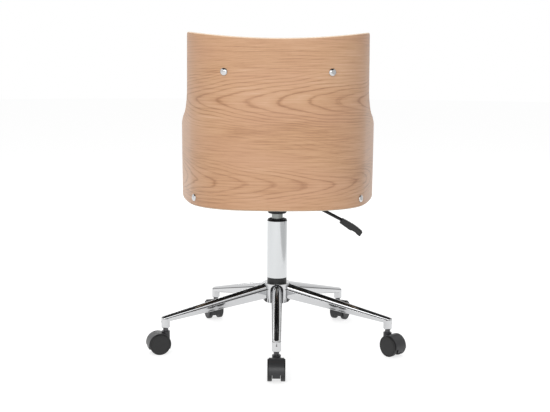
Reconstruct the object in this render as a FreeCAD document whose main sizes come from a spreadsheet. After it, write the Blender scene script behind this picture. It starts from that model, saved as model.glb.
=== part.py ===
"""Swivel office chair with a bent plywood shell.

A tub-like oak plywood shell wraps an upholstered seat and back. It stands on
a gas lift in a five-armed bright base with twin-wheel casters.

The chair faces -Y, +Z is up and the origin is on the floor under the column.
Lengths are millimetres and angles are degrees.
"""
import FreeCAD
import Part
import math
import os
import re

import Sketcher
from FreeCAD import Placement, Rotation, Vector

# Driving dimensions
SIZES = {
    # Casters
    "wheel_diameter": 50.0,
    "wheel_width": 10.4,
    "wheel_gap": 19.3,
    "wheel_rounding": 1.6,
    "wheel_groove_diameter": 43.0,
    "wheel_groove_width": 1.2,
    "wheel_groove_depth": 0.7,
    "caster_trail": 18.0,
    "axle_diameter": 6.0,
    "axle_grip": 7.4,
    "hood_rise": 4.0,
    "hood_wall": 1.6,
    "hood_play": 0.6,
    "hood_width": 34.0,
    "hood_skirt": 12.7,
    "hood_boss_diameter": 20.0,
    "pintle_diameter": 8.0,
    "pintle_length": 17.0,
    "neck_diameter": 12.5,
    "neck_height": 8.2,
    "stem_diameter": 11.0,
    "stem_length": 25.0,
    "ring_height": 3.0,
    "ring_depth": 0.9,
    "ring_place": 12.0,
    # Star base
    "stem_circle": 565.2,
    "boss_diameter": 21.0,
    "boss_height": 29.5,
    "boss_chamfer": 1.4,
    "arm_drop": 63.0,
    "arm_tip_width": 19.5,
    "arm_tip_height": 14.5,
    "arm_tip_crown": 5.0,
    "arm_root_width": 28.0,
    "arm_root_height": 36.0,
    "arm_root_crown": 13.0,
    "arm_wall": 2.8,
    "hub_diameter": 68.0,
    "hub_height": 49.0,
    "hub_lip": 3.0,
    "hub_rounding": 2.0,
    "arch_width": 1.3,
    "arch_depth": 2.2,
    # Column and gas lift
    "taper_top_diameter": 44.8,
    "taper_foot_diameter": 43.0,
    "collar_height": 13.0,
    "collar_diameter": 48.0,
    "column_diameter": 50.0,
    "column_wall": 2.0,
    "column_show": 141.5,
    "column_lift": 2.0,
    "column_floor": 4.0,
    "bush_rim": 5.0,
    "bush_length": 80.0,
    "tube_diameter": 28.0,
    "tube_wall": 2.5,
    "tube_show": 13.5,
    "tube_grip": 30.0,
    "tube_taper": 0.8,
    "tube_head": 18.0,
    "pin_diameter": 6.0,
    "pin_length": 16.0,
    "rod_diameter": 10.0,
    "rod_foot_diameter": 8.0,
    "rod_tail": 7.0,
    "clip_height": 1.6,
    "clip_diameter": 16.0,
    "clip_gap": 0.4,
    "race_diameter": 24.0,
    "race_height": 3.0,
    "ball_diameter": 4.0,
    "ball_circle": 17.0,
    "ball_play": 0.1,
    "buffer_diameter": 20.0,
    "buffer_height": 20.0,
    "guide_height": 15.0,
    "piston_height": 12.0,
    "piston_spare": 2.0,
    "lift_stroke": 90.0,
    # Seat mechanism
    "socket_diameter": 46.0,
    "socket_height": 48.5,
    "socket_rounding": 3.0,
    "chamber_diameter": 30.0,
    "lever_slot": 10.4,
    "lever_drop": 8.0,
    "lever_diameter": 8.0,
    "lever_reach_in": 6.0,
    "pivot_place": 19.0,
    "pivot_diameter": 4.0,
    "pivot_length": 25.0,
    "lever_bend_place": 50.6,
    "lever_bend_radius": 14.0,
    "lever_slope": 27.6,
    "lever_run": 122.0,
    "handle_slope": 34.0,
    "handle_length": 60.0,
    "handle_root_height": 11.0,
    "handle_tip_height": 15.0,
    "handle_width": 18.0,
    "handle_grip": 26.0,
    "handle_rounding": 2.4,
    "plate_length": 190.0,
    "plate_width": 150.0,
    "plate_thickness": 4.0,
    "plate_corner": 14.0,
    "screw_inset": 16.0,
    "screw_diameter": 6.0,
    "screw_head_diameter": 12.0,
    "screw_head_height": 3.6,
    "nut_barrel_diameter": 8.0,
    "nut_flange_diameter": 20.0,
    "nut_flange_height": 1.4,
    # Plywood shell
    "board_thickness": 15.0,
    "board_front": 205.0,
    "board_corner": 50.0,
    "cover_thickness": 0.8,
    "cover_border": 6.0,
    "cover_gap": 0.6,
    "shell_skirt": 12.0,
    "shell_rear": 240.0,
    "ply_thickness": 12.0,
    "back_radius": 540.0,
    "back_arc_angle": 9.0,
    "corner_radius": 150.0,
    "corner_arc_angle": 73.0,
    "side_radius": 800.0,
    "back_lean": 2.74,
    "back_height": 381.0,
    "top_dip": 16.5,
    "top_chord": 416.0,
    "top_corner_radius": 8.0,
    "wing_front": 190.0,
    "knee_place": 115.0,
    "knee_height": 225.0,
    "knee_radius": 70.0,
    "wing_slope": 18.4,
    "upright_slope": 6.0,
    "wing_top_radius": 42.0,
    "wing_foot_radius": 52.0,
    # Shell fasteners
    "upper_bolt_angle": 22.6,
    "upper_bolt_height": 309.0,
    "lower_bolt_angle": 60.5,
    "bolt_diameter": 6.0,
    "bolt_play": 0.2,
    "cap_diameter": 16.0,
    "cap_height": 5.0,
    "cap_rim": 0.8,
    "barrel_nut_diameter": 10.0,
    "barrel_nut_inset": 26.0,
    # Upholstery
    "liner_thickness": 5.0,
    "liner_width": 370.0,
    "liner_corner": 24.0,
    "liner_top_inset": 14.0,
    "pad_border": 7.0,
    "pad_overhang": 5.0,
    "back_pad_edge": 10.0,
    "back_pad_depth": 27.0,
    "side_pad_edge": 8.0,
    "side_pad_depth": 15.0,
    "seat_front": 234.0,
    "seat_corner": 72.0,
    "seat_height": 70.0,
    "seat_rear_inset": 8.0,
    # Clearances
    "running_fit": 0.05,
    "swivel_gap": 0.3,
    "soft_gap": 0.6,
    "seat_gap": 0.3,
}

# Counts and the turn of each caster as it stands
ARM_COUNT = 5
BALL_COUNT = 8
CASTER_TURNS = [180.0, 222.0, -27.0, 24.0, 110.0]

# Places worked out from the driving dimensions
PLACES = {
    "axle_height": "wheel_diameter / 2",
    "hood_top": "wheel_diameter + hood_rise",
    "neck_foot": "hood_top + swivel_gap",
    "boss_foot": "neck_foot + neck_height",
    "boss_top": "boss_foot + boss_height",
    "arm_top": "boss_top + arm_drop",
    "hub_top": "arm_top + hub_lip",
    "hub_foot": "hub_top - hub_height",
    "column_foot": "hub_foot + column_lift",
    "column_shoulder": "hub_top + collar_height",
    "column_top": "column_shoulder + column_show",
    "bush_top": "column_top + bush_rim",
    "bearing_foot": "column_foot + column_floor",
    "ball_height": "bearing_foot + race_height + ball_play + ball_diameter / 2",
    "upper_race_foot": "ball_height + ball_diameter / 2 + ball_play",
    "rod_shoulder": "upper_race_foot + race_height",
    "buffer_top": "rod_shoulder + buffer_height",
    "tube_foot": "buffer_top + seat_gap",
    "piston_foot": "tube_foot + guide_height + lift_stroke + piston_spare",
    "rod_top": "piston_foot + piston_height",
    "socket_foot": "bush_top + tube_show",
    "tube_top": "socket_foot + tube_grip",
    "plate_foot": "socket_foot + socket_height",
    "board_foot": "plate_foot + plate_thickness",
    "board_top": "board_foot + board_thickness",
    "lever_height": "plate_foot - lever_drop",
    "pin_top": "lever_height - lever_diameter / 2 - seat_gap",
    "pin_foot": "pin_top - pin_length",
    "shell_foot": "board_foot - shell_skirt",
    "shell_top": "shell_foot + back_height",
}

doc = FreeCAD.newDocument("SwivelChair")
sheet = doc.addObject("Spreadsheet::Sheet", "Sizes")
for row, (alias, number) in enumerate(SIZES.items(), start=1):
    sheet.set(f"A{row}", alias.replace("_", " "))
    sheet.set(f"B{row}", str(number))
    sheet.setAlias(f"B{row}", alias)
doc.recompute()

nodes = {}


def formula(text):
    """Turn plain size and place names into references to the sheet."""
    def swap(match):
        word = match.group(0)
        if word in PLACES:
            return f"({formula(PLACES[word])})"
        return f"Sizes.{word}" if word in SIZES else word
    return re.sub(r"[a-z_]+", swap, text)


def value(text):
    """Work out a formula as a number."""
    result = sheet.evalExpression(formula(text))
    return float(getattr(result, "Value", result))


def bind(piece, **expressions):
    """Tie properties of a piece to formulas."""
    for name, text in expressions.items():
        piece.setExpression(name, formula(text))
    return piece


def place(piece, spot=(None, None, None), rotation=None):
    """Turn a piece, then tie its position to formulas."""
    if rotation is not None:
        piece.Placement = Placement(Vector(0, 0, 0), rotation)
    for axis, text in zip("xyz", spot):
        if text is not None:
            piece.setExpression(f"Placement.Base.{axis}", formula(text))
    return piece


def node(name, piece):
    """Register a finished sub-part under its own label."""
    piece.Label = name
    nodes[name] = piece
    return piece


def origin_plane(body, role):
    """Find one of the origin planes of a body."""
    return next(plane for plane in body.Origin.OriginFeatures if plane.Role == role)


def bound_sketch(body, name, role, corners):
    """Draw a closed outline whose corners are tied to formulas.

    Each corner is a pair of formulas. A first formula of "0" lies on the axis.
    """
    sketch = body.newObject("Sketcher::SketchObject", name)
    sketch.AttachmentSupport = [(origin_plane(body, role), "")]
    sketch.MapMode = "FlatFace"
    points = [Vector(value(across), value(up), 0) for across, up in corners]
    count = len(points)
    for index in range(count):
        line = Part.LineSegment(points[index], points[(index + 1) % count])
        sketch.addGeometry(line, False)
    for index in range(count):
        sketch.addConstraint(
            Sketcher.Constraint("Coincident", index, 2, (index + 1) % count, 1))
    for index, (across, up) in enumerate(corners):
        if across == "0":
            sketch.addConstraint(Sketcher.Constraint("PointOnObject", index, 1, -2))
        else:
            number = sketch.addConstraint(Sketcher.Constraint(
                "DistanceX", -1, 1, index, 1, points[index].x))
            sketch.setExpression(f"Constraints[{number}]", formula(across))
        number = sketch.addConstraint(Sketcher.Constraint(
            "DistanceY", -1, 1, index, 1, points[index].y))
        sketch.setExpression(f"Constraints[{number}]", formula(up))
    return sketch


def turned(name, corners):
    """Make a round piece by turning an outline of (radius, height) corners."""
    body = doc.addObject("PartDesign::Body", name)
    sketch = bound_sketch(body, f"{name}_outline", "XZ_Plane", corners)
    turn = body.newObject("PartDesign::Revolution", f"{name}_turn")
    turn.Profile = sketch
    turn.ReferenceAxis = (sketch, ["V_Axis"])
    turn.Angle = 360
    return body


def edges_where(shape, test):
    """Name the edges of a shape whose centre and direction pass a test."""
    return [f"Edge{number}" for number, edge in enumerate(shape.Edges, start=1) if test(edge)]


def soften(body, kind, name, size_name, test):
    """Add a fillet or chamfer to the edges of a body that pass a test."""
    doc.recompute()
    base = body.Tip
    feature = body.newObject(f"PartDesign::{kind}", name)
    feature.Base = (base, edges_where(base.Shape, test))
    feature.setExpression("Radius" if kind == "Fillet" else "Size", formula(size_name))
    return feature


def is_circle_at(height, radius):
    """Make a test for a level circular edge at a height and radius."""
    def test(edge):
        curve = edge.Curve
        return (isinstance(curve, Part.Circle)
                and abs(curve.Center.z - height) < 1e-4
                and abs(curve.Radius - radius) < 1e-4)
    return test


def cylinder(name, radius, length, spot=(None, None, None), rotation=None):
    """Make a round bar tied to formulas."""
    bar = bind(doc.addObject("Part::Cylinder", name), Radius=radius, Height=length)
    return place(bar, spot, rotation)


def box(name, length, width, height, spot):
    """Make a block tied to formulas."""
    block = doc.addObject("Part::Box", name)
    return place(bind(block, Length=length, Width=width, Height=height), spot)


def joined(name, pieces):
    """Fuse pieces into one solid."""
    fused = doc.addObject("Part::MultiFuse", name)
    fused.Shapes = pieces
    return fused


def cut(name, base, tool):
    """Take a tool away from a base."""
    result = doc.addObject("Part::Cut", name)
    result.Base = base
    result.Tool = tool
    return result


def group(name, pieces):
    """Keep separate solids together as one sub-part."""
    compound = doc.addObject("Part::Compound", name)
    compound.Links = pieces
    return compound


def shaped(name, shape):
    """Keep a shape made in code as a sub-part."""
    feature = doc.addObject("Part::Feature", name)
    feature.Shape = shape
    return node(name, feature)


def rounded_wire(corners, radii):
    """Join corners with lines and round each corner with a tangent arc."""
    count = len(corners)
    starts, ends, middles = [], [], []
    for index, corner in enumerate(corners):
        back = (corners[index - 1] - corner).normalize()
        ahead = (corners[(index + 1) % count] - corner).normalize()
        half = back.getAngle(ahead) / 2
        radius = radii[index]
        reach = radius / math.tan(half)
        bisector = (back + ahead).normalize()
        starts.append(corner + back * reach)
        ends.append(corner + ahead * reach)
        middles.append(corner + bisector * (radius / math.sin(half) - radius))
    edges = []
    for index in range(count):
        if radii[index] > 0:
            edges.append(Part.Arc(starts[index], middles[index], ends[index]).toShape())
        following = starts[(index + 1) % count]
        if ends[index].distanceToPoint(following) > 1e-6:
            edges.append(Part.LineSegment(ends[index], following).toShape())
    return Part.Wire(edges)


# Casters

def caster_places():
    """List the placement of each caster: its stem and the way it trails."""
    reach = value("stem_circle / 2")
    spots = []
    for index, turn in enumerate(CASTER_TURNS):
        angle = math.radians(90 + index * 360 / ARM_COUNT)
        spot = Vector(reach * math.cos(angle), reach * math.sin(angle), 0)
        spots.append(Placement(spot, Rotation(Vector(0, 0, 1), turn)))
    return spots


def caster_stem(number, spot):
    """Make the steel stem: pintle below, neck flange, and grip-ring spigot above."""
    name = f"caster_stem_{number}"
    body = turned(name, [
        ("0", "neck_foot - pintle_length"),
        ("pintle_diameter / 2", "neck_foot - pintle_length"),
        ("pintle_diameter / 2", "neck_foot"),
        ("neck_diameter / 2", "neck_foot"),
        ("neck_diameter / 2", "boss_foot"),
        ("stem_diameter / 2", "boss_foot"),
        ("stem_diameter / 2", "boss_foot + ring_place"),
        ("stem_diameter / 2 - ring_depth", "boss_foot + ring_place"),
        ("stem_diameter / 2 - ring_depth", "boss_foot + ring_place + ring_height"),
        ("stem_diameter / 2", "boss_foot + ring_place + ring_height"),
        ("stem_diameter / 2", "boss_foot + stem_length"),
        ("0", "boss_foot + stem_length"),
    ])
    body.Placement = spot
    node(name, body)


def grip_ring(number, spot):
    """Make the split ring that holds a stem in its boss."""
    name = f"grip_ring_{number}"
    ring = turned(f"{name}_round", [
        ("stem_diameter / 2 - ring_depth", "boss_foot + ring_place + running_fit"),
        ("stem_diameter / 2 + running_fit", "boss_foot + ring_place + running_fit"),
        ("stem_diameter / 2 + running_fit",
         "boss_foot + ring_place + ring_height - running_fit"),
        ("stem_diameter / 2 - ring_depth",
         "boss_foot + ring_place + ring_height - running_fit"),
    ])
    split = box(f"{name}_split", "stem_diameter", "ring_height / 2", "ring_height",
                ("0", "-ring_height / 4", "boss_foot + ring_place"))
    result = cut(name, ring, split)
    result.Placement = spot
    return result


def caster_hood(number, spot):
    """Make the plastic hood: a web between the wheels and a cover over them."""
    name = f"caster_hood_{number}"
    along_x = Rotation(Vector(0, 1, 0), 90)
    drum = cylinder(f"{name}_drum", "wheel_diameter / 2 + hood_play + hood_wall",
                    "hood_width", ("-hood_width / 2", "-caster_trail", "axle_height"), along_x)
    boss = cylinder(f"{name}_boss", "hood_boss_diameter / 2", "hood_top - axle_height",
                    (None, None, "axle_height"))
    cavities = [
        cylinder(f"{name}_cavity_{side}", "wheel_diameter / 2 + hood_play", "hood_width",
                 (start, "-caster_trail", "axle_height"), along_x)
        for side, start in (("a", "wheel_gap / 2 - hood_play"),
                            ("b", "-wheel_gap / 2 + hood_play - hood_width"))
    ]
    skirt = box(f"{name}_skirt", "hood_width * 2", "wheel_diameter * 2",
                "wheel_diameter + hood_skirt",
                ("-hood_width", "-caster_trail - wheel_diameter", "-wheel_diameter"))
    heels = [
        box(f"{name}_heel_{side}", "hood_width", "wheel_diameter", "axle_height - hood_rise",
            (start, "-caster_trail - wheel_diameter", "0"))
        for side, start in (("a", "wheel_gap / 2 - hood_play"),
                            ("b", "-wheel_gap / 2 + hood_play - hood_width"))
    ]
    pintle = cylinder(f"{name}_pintle_bore", "pintle_diameter / 2 + running_fit",
                      "pintle_length + 1", (None, None, "hood_top - pintle_length"))
    axle = cylinder(f"{name}_axle_bore", "axle_diameter / 2", "hood_width",
                    ("-hood_width / 2", "-caster_trail", "axle_height"), along_x)
    body = joined(f"{name}_body", [drum, boss])
    tools = joined(f"{name}_tools", cavities + heels + [skirt, pintle, axle])
    hood = cut(name, body, tools)
    hood.Placement = spot
    node(name, hood)


def caster_axle(number, spot):
    """Make the steel axle that carries both wheels."""
    name = f"caster_axle_{number}"
    axle = cylinder(f"{name}_bar", "axle_diameter / 2", "wheel_gap + 2 * axle_grip",
                    ("-wheel_gap / 2 - axle_grip", "-caster_trail", "axle_height"),
                    Rotation(Vector(0, 1, 0), 90))
    result = group(name, [axle])
    result.Placement = spot
    node(name, result)


def caster_wheel(number, side, spot):
    """Make one wheel: a disc with a rounded tread, a blind bore and a rim groove."""
    name = f"caster_wheel_{number}{side}"
    body = turned(f"{name}_disc", [
        ("0", "axle_grip + seat_gap"),
        ("axle_diameter / 2 + running_fit", "axle_grip + seat_gap"),
        ("axle_diameter / 2 + running_fit", "running_fit"),
        ("wheel_diameter / 2", "running_fit"),
        ("wheel_diameter / 2", "wheel_width"),
        ("wheel_groove_diameter / 2 + wheel_groove_width", "wheel_width"),
        ("wheel_groove_diameter / 2 + wheel_groove_width", "wheel_width - wheel_groove_depth"),
        ("wheel_groove_diameter / 2", "wheel_width - wheel_groove_depth"),
        ("wheel_groove_diameter / 2", "wheel_width"),
        ("0", "wheel_width"),
    ])
    doc.recompute()
    rim = value("wheel_diameter / 2")
    faces = (value("wheel_width"), value("running_fit"))
    soften(body, "Fillet", f"{name}_rounding", "wheel_rounding",
           lambda edge: any(is_circle_at(face, rim)(edge) for face in faces))
    sign = "" if side == "a" else "-"
    place(body, (f"{sign}wheel_gap / 2", "-caster_trail", "axle_height"),
          Rotation(Vector(0, 1, 0), 90 if side == "a" else -90))
    wheel = group(name, [body])
    wheel.Placement = spot
    node(name, wheel)


# Star base

def arch_wire(reach, top, height, width, crown, spread=0.0):
    """Draw an arm's section at a reach: a flat foot, straight sides and a round top."""
    half = width / 2 + spread
    foot = top - height - spread
    shoulder = top - crown
    peak = Vector(reach, 0, top + spread)
    left_foot, right_foot = Vector(reach, -half, foot), Vector(reach, half, foot)
    left, right = Vector(reach, -half, shoulder), Vector(reach, half, shoulder)
    return Part.Wire([
        Part.LineSegment(left_foot, right_foot).toShape(),
        Part.LineSegment(right_foot, right).toShape(),
        Part.Arc(right, peak, left).toShape(),
        Part.LineSegment(left, left_foot).toShape(),
    ])


def arm_loft(start, end, spread=0.0, sink=0.0):
    """Loft an arm between two reaches, along its straight taper."""
    root, tip = value("hub_diameter / 2"), value("stem_circle / 2")

    def blend(first, last, reach):
        share = (reach - root) / (tip - root)
        return value(first) + share * (value(last) - value(first))

    wires = []
    for reach in (start, end):
        wires.append(arch_wire(
            reach,
            blend("arm_top", "boss_top", reach),
            blend("arm_root_height", "arm_tip_height", reach) + sink,
            blend("arm_root_width", "arm_tip_width", reach),
            blend("arm_root_crown", "arm_tip_crown", reach),
            spread))
    return Part.makeLoft(wires, True, True)


def star_arm():
    """Make one arm with its caster boss, pointing along +X."""
    reach = value("stem_circle / 2")
    radius = value("boss_diameter / 2")
    hub = value("hub_diameter / 2")
    wall = value("arm_wall")
    arm = arm_loft(hub - value("arch_depth") - wall, reach + radius + wall)
    block_foot = value("boss_foot")
    block_height = value("boss_height") * 2
    end_block = Part.makeBox(radius + 2 * wall, 4 * radius, block_height,
                             Vector(reach, -2 * radius, block_foot))
    post = Part.makeCylinder(radius, block_height, Vector(reach, 0, block_foot))
    arm = arm.cut(end_block.cut(post))
    hollow = arm_loft(hub + wall, reach - radius - wall, spread=-wall, sink=3 * wall)
    boss_height = value("boss_top - arm_tip_crown - boss_foot")
    boss = Part.makeCylinder(radius, boss_height, Vector(reach, 0, block_foot))
    edge = [edge for edge in boss.Edges if is_circle_at(block_foot, radius)(edge)]
    boss = boss.makeChamfer(value("boss_chamfer"), edge)
    socket = Part.makeCylinder(value("stem_diameter / 2 + running_fit"),
                               value("stem_length + seat_gap"), Vector(reach, 0, block_foot))
    return arm.cut(hollow).fuse(boss).cut(socket)


def star_base():
    """Make the cast base: a hub with a tapered bore and five arms."""
    foot, height = value("hub_foot"), value("hub_height")
    radius = value("hub_diameter / 2")
    hub = Part.makeCylinder(radius, height, Vector(0, 0, foot))
    rims = [edge for edge in hub.Edges
            if is_circle_at(foot, radius)(edge) or is_circle_at(foot + height, radius)(edge)]
    hub = hub.makeFillet(value("hub_rounding"), rims)
    depth, spread = value("arch_depth"), value("arch_width")
    arch = arm_loft(radius - depth, radius + depth, spread=spread)
    arm = star_arm()
    core = Part.makeCylinder(radius - depth, height, Vector(0, 0, foot))
    arms = []
    for index in range(ARM_COUNT):
        turn = 90 + index * 360 / ARM_COUNT
        hub = hub.cut(arch.rotated(Vector(0, 0, 0), Vector(0, 0, 1), turn))
        arms.append(arm.rotated(Vector(0, 0, 0), Vector(0, 0, 1), turn))
    bore = Part.makeCone(value("taper_foot_diameter / 2"), value("taper_top_diameter / 2"),
                         value("hub_top - column_foot"), Vector(0, 0, value("column_foot")))
    mouth = Part.makeCylinder(value("taper_foot_diameter / 2"), value("column_lift"),
                              Vector(0, 0, foot))
    base = hub.fuse(core).fuse(arms)
    shaped("star_base", base.cut(bore.fuse(mouth)).removeSplitter())


# Column and gas lift

def column_parts():
    """Make the outer column, its collar and its guide bush."""
    node("lift_column", turned("lift_column", [
        ("rod_foot_diameter / 2 + running_fit", "column_foot"),
        ("taper_foot_diameter / 2", "column_foot"),
        ("taper_top_diameter / 2", "hub_top"),
        ("taper_top_diameter / 2", "column_shoulder"),
        ("column_diameter / 2", "column_shoulder"),
        ("column_diameter / 2", "column_top"),
        ("column_diameter / 2 - column_wall", "column_top"),
        ("column_diameter / 2 - column_wall", "column_shoulder + column_wall"),
        ("taper_top_diameter / 2 - column_wall", "column_shoulder - column_wall"),
        ("taper_top_diameter / 2 - column_wall", "hub_top"),
        ("taper_foot_diameter / 2 - column_wall", "bearing_foot"),
        ("rod_foot_diameter / 2 + running_fit", "bearing_foot"),
    ]))
    node("hub_collar", turned("hub_collar", [
        ("taper_top_diameter / 2", "hub_top"),
        ("collar_diameter / 2", "hub_top"),
        ("collar_diameter / 2", "column_shoulder"),
        ("taper_top_diameter / 2", "column_shoulder"),
    ]))
    node("column_guide_bush", turned("column_guide_bush", [
        ("tube_diameter / 2 + running_fit", "column_top - bush_length"),
        ("column_diameter / 2 - column_wall", "column_top - bush_length"),
        ("column_diameter / 2 - column_wall", "column_top"),
        ("column_diameter / 2", "column_top"),
        ("column_diameter / 2 - bush_rim / 2", "bush_top"),
        ("tube_diameter / 2 + bush_rim", "bush_top"),
        ("tube_diameter / 2 + running_fit", "bush_top - bush_rim"),
    ]))


def bearing_parts():
    """Make the thrust bearing on the column's floor, with its ring of balls."""
    node("lower_race", turned("lower_race", [
        ("rod_foot_diameter / 2 + seat_gap", "bearing_foot"),
        ("race_diameter / 2", "bearing_foot"),
        ("race_diameter / 2", "bearing_foot + race_height"),
        ("rod_foot_diameter / 2 + seat_gap", "bearing_foot + race_height"),
    ]))
    balls = []
    reach = value("ball_circle / 2")
    for index in range(BALL_COUNT):
        ball = bind(doc.addObject("Part::Sphere", f"ball_{index + 1}"), Radius="ball_diameter / 2")
        angle = math.radians(index * 360 / BALL_COUNT)
        ball.Placement.Base = Vector(reach * math.cos(angle), reach * math.sin(angle), 0)
        balls.append(place(ball, (None, None, "ball_height")))
    node("thrust_balls", group("thrust_balls", balls))
    node("upper_race", turned("upper_race", [
        ("rod_foot_diameter / 2", "upper_race_foot"),
        ("race_diameter / 2", "upper_race_foot"),
        ("race_diameter / 2", "rod_shoulder"),
        ("rod_foot_diameter / 2", "rod_shoulder"),
    ]))


def rod_parts():
    """Make the piston rod with its clip, buffer and piston."""
    node("piston_rod", turned("piston_rod", [
        ("0", "column_foot - rod_tail"),
        ("rod_foot_diameter / 2", "column_foot - rod_tail"),
        ("rod_foot_diameter / 2", "rod_shoulder"),
        ("rod_diameter / 2", "rod_shoulder"),
        ("rod_diameter / 2", "rod_top"),
        ("0", "rod_top"),
    ]))
    node("rod_clip", turned("rod_clip", [
        ("rod_foot_diameter / 2", "column_foot - clip_gap - clip_height"),
        ("clip_diameter / 2", "column_foot - clip_gap - clip_height"),
        ("clip_diameter / 2", "column_foot - clip_gap"),
        ("rod_foot_diameter / 2", "column_foot - clip_gap"),
    ]))
    node("rod_buffer", turned("rod_buffer", [
        ("rod_diameter / 2", "rod_shoulder"),
        ("buffer_diameter / 2", "rod_shoulder"),
        ("buffer_diameter / 2", "buffer_top"),
        ("rod_diameter / 2", "buffer_top"),
    ]))
    node("gas_piston", turned("gas_piston", [
        ("rod_diameter / 2", "piston_foot"),
        ("tube_diameter / 2 - tube_wall - running_fit", "piston_foot"),
        ("tube_diameter / 2 - tube_wall - running_fit", "rod_top"),
        ("rod_diameter / 2", "rod_top"),
    ]))


def tube_parts():
    """Make the pressure tube, its rod guide and the release pin."""
    node("pressure_tube", turned("pressure_tube", [
        ("tube_diameter / 2 - tube_wall", "tube_foot"),
        ("tube_diameter / 2", "tube_foot"),
        ("tube_diameter / 2", "socket_foot"),
        ("tube_diameter / 2 - tube_taper", "tube_top"),
        ("pin_diameter / 2 + running_fit", "tube_top"),
        ("pin_diameter / 2 + running_fit", "pin_foot - 4 * pin_diameter / 5"),
        ("0", "pin_foot - 4 * pin_diameter / 5"),
        ("0", "tube_top - tube_head - 4 * tube_wall / 5"),
        ("tube_diameter / 2 - tube_wall", "tube_top - tube_head - 4 * tube_wall / 5"),
    ]))
    node("rod_guide", turned("rod_guide", [
        ("rod_diameter / 2 + running_fit", "tube_foot"),
        ("tube_diameter / 2 - tube_wall", "tube_foot"),
        ("tube_diameter / 2 - tube_wall", "tube_foot + guide_height"),
        ("rod_diameter / 2 + running_fit", "tube_foot + guide_height"),
    ]))
    node("release_pin", turned("release_pin", [
        ("0", "pin_foot"),
        ("pin_diameter / 2", "pin_foot"),
        ("pin_diameter / 2", "pin_top"),
        ("0", "pin_top"),
    ]))


# Seat mechanism

def taper_socket():
    """Make the socket that grips the tube, with the lever's slot and pivot bore."""
    round_part = turned("taper_socket_round", [
        ("tube_diameter / 2 + running_fit", "socket_foot"),
        ("socket_diameter / 2", "socket_foot"),
        ("socket_diameter / 2", "plate_foot"),
        ("chamber_diameter / 2", "plate_foot"),
        ("chamber_diameter / 2", "tube_top"),
        ("tube_diameter / 2 - tube_taper + running_fit", "tube_top"),
    ])
    soften(round_part, "Fillet", "taper_socket_rounding", "socket_rounding",
           is_circle_at(value("socket_foot"), value("socket_diameter / 2")))
    slot = box("lever_slot_tool", "socket_diameter / 2", "lever_slot", "socket_height",
               ("-socket_diameter / 2 - seat_gap", "-lever_slot / 2",
                "lever_height - lever_diameter"))
    bore = cylinder("pivot_bore_tool", "pivot_diameter / 2", "socket_diameter",
                    ("-pivot_place", "socket_diameter / 2", "lever_height"),
                    Rotation(Vector(1, 0, 0), 90))
    tools = joined("taper_socket_tools", [slot, bore])
    node("taper_socket", cut("taper_socket", round_part, tools))
    pin = cylinder("lever_pivot_pin", "pivot_diameter / 2", "pivot_length",
                   ("-pivot_place", "pivot_length / 2", "lever_height"),
                   Rotation(Vector(1, 0, 0), 90))
    node("lever_pivot_pin", pin)


def lever_points():
    """List the lever's centre line: its inner end, bend, handle joint and handle end."""
    slope = math.radians(value("lever_slope"))
    handle = math.radians(value("handle_slope"))
    run, grip = value("lever_run"), value("handle_grip")
    inner = Vector(value("lever_reach_in"), 0, value("lever_height"))
    bend = Vector(-value("lever_bend_place"), 0, value("lever_height"))
    joint = bend + Vector(-math.cos(slope), 0, -math.sin(slope)) * run
    end = joint + Vector(-math.cos(handle), 0, -math.sin(handle)) * grip
    return inner, bend, joint, end


def bent_path(points, radius):
    """Join points with lines and tangent arcs of one radius."""
    edges = []
    start = points[0]
    for before, corner, after in zip(points, points[1:], points[2:]):
        back = (before - corner).normalize()
        ahead = (after - corner).normalize()
        half = back.getAngle(ahead) / 2
        reach = radius / math.tan(half)
        bisector = (back + ahead).normalize()
        enter, leave = corner + back * reach, corner + ahead * reach
        middle = corner + bisector * (radius / math.sin(half) - radius)
        edges.append(Part.LineSegment(start, enter).toShape())
        edges.append(Part.Arc(enter, middle, leave).toShape())
        start = leave
    edges.append(Part.LineSegment(start, points[-1]).toShape())
    return Part.Wire(edges)


def lever_rod():
    """Make the bent rod that is lifted to release the gas lift."""
    points = lever_points()
    path = bent_path(points, value("lever_bend_radius"))
    ring = Part.Wire(Part.makeCircle(value("lever_diameter / 2"), points[0], Vector(1, 0, 0)))
    rod = path.makePipeShell([ring], True, False)
    bore = Part.makeCylinder(value("pivot_diameter / 2 + running_fit"), value("lever_slot"),
                             Vector(-value("pivot_place"), -value("lever_slot / 2"),
                                    value("lever_height")), Vector(0, 1, 0))
    shaped("lever_rod", rod.cut(bore))
    return rod


def lever_handle(rod):
    """Make the plastic paddle on the lever's rod, with a finger notch under its tip."""
    body = doc.addObject("PartDesign::Body", "lever_handle_body")
    outline = [
        ("0", "handle_root_height / 2"),
        ("0", "-handle_root_height / 2"),
        ("handle_length * 0.5", "-handle_tip_height / 2 + 1"),
        ("handle_length * 0.56", "-handle_tip_height / 2"),
        ("handle_length * 0.9", "-handle_tip_height / 2"),
        ("handle_length", "-handle_tip_height / 4"),
        ("handle_length", "handle_tip_height / 4"),
        ("handle_length * 0.92", "handle_tip_height / 2"),
        ("handle_length * 0.3", "handle_tip_height / 2"),
    ]
    sketch = bound_sketch(body, "lever_handle_outline", "XZ_Plane", outline)
    pad = body.newObject("PartDesign::Pad", "lever_handle_pad")
    pad.Profile = sketch
    pad.Midplane = True
    pad.setExpression("Length", formula("handle_width"))
    half = value("handle_width / 2")
    soften(body, "Fillet", "lever_handle_rounding", "handle_rounding",
           lambda edge: abs(abs(edge.CenterOfMass.y) - half) < 1e-4)
    doc.recompute()
    turn = Rotation(Vector(0, 1, 0), -value("handle_slope"))
    flip = Rotation(Vector(0, 0, 1), 180)
    body.Placement = Placement(lever_points()[2], turn * flip)
    doc.recompute()
    shaped("lever_handle", body.Shape.cut(rod))


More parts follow.
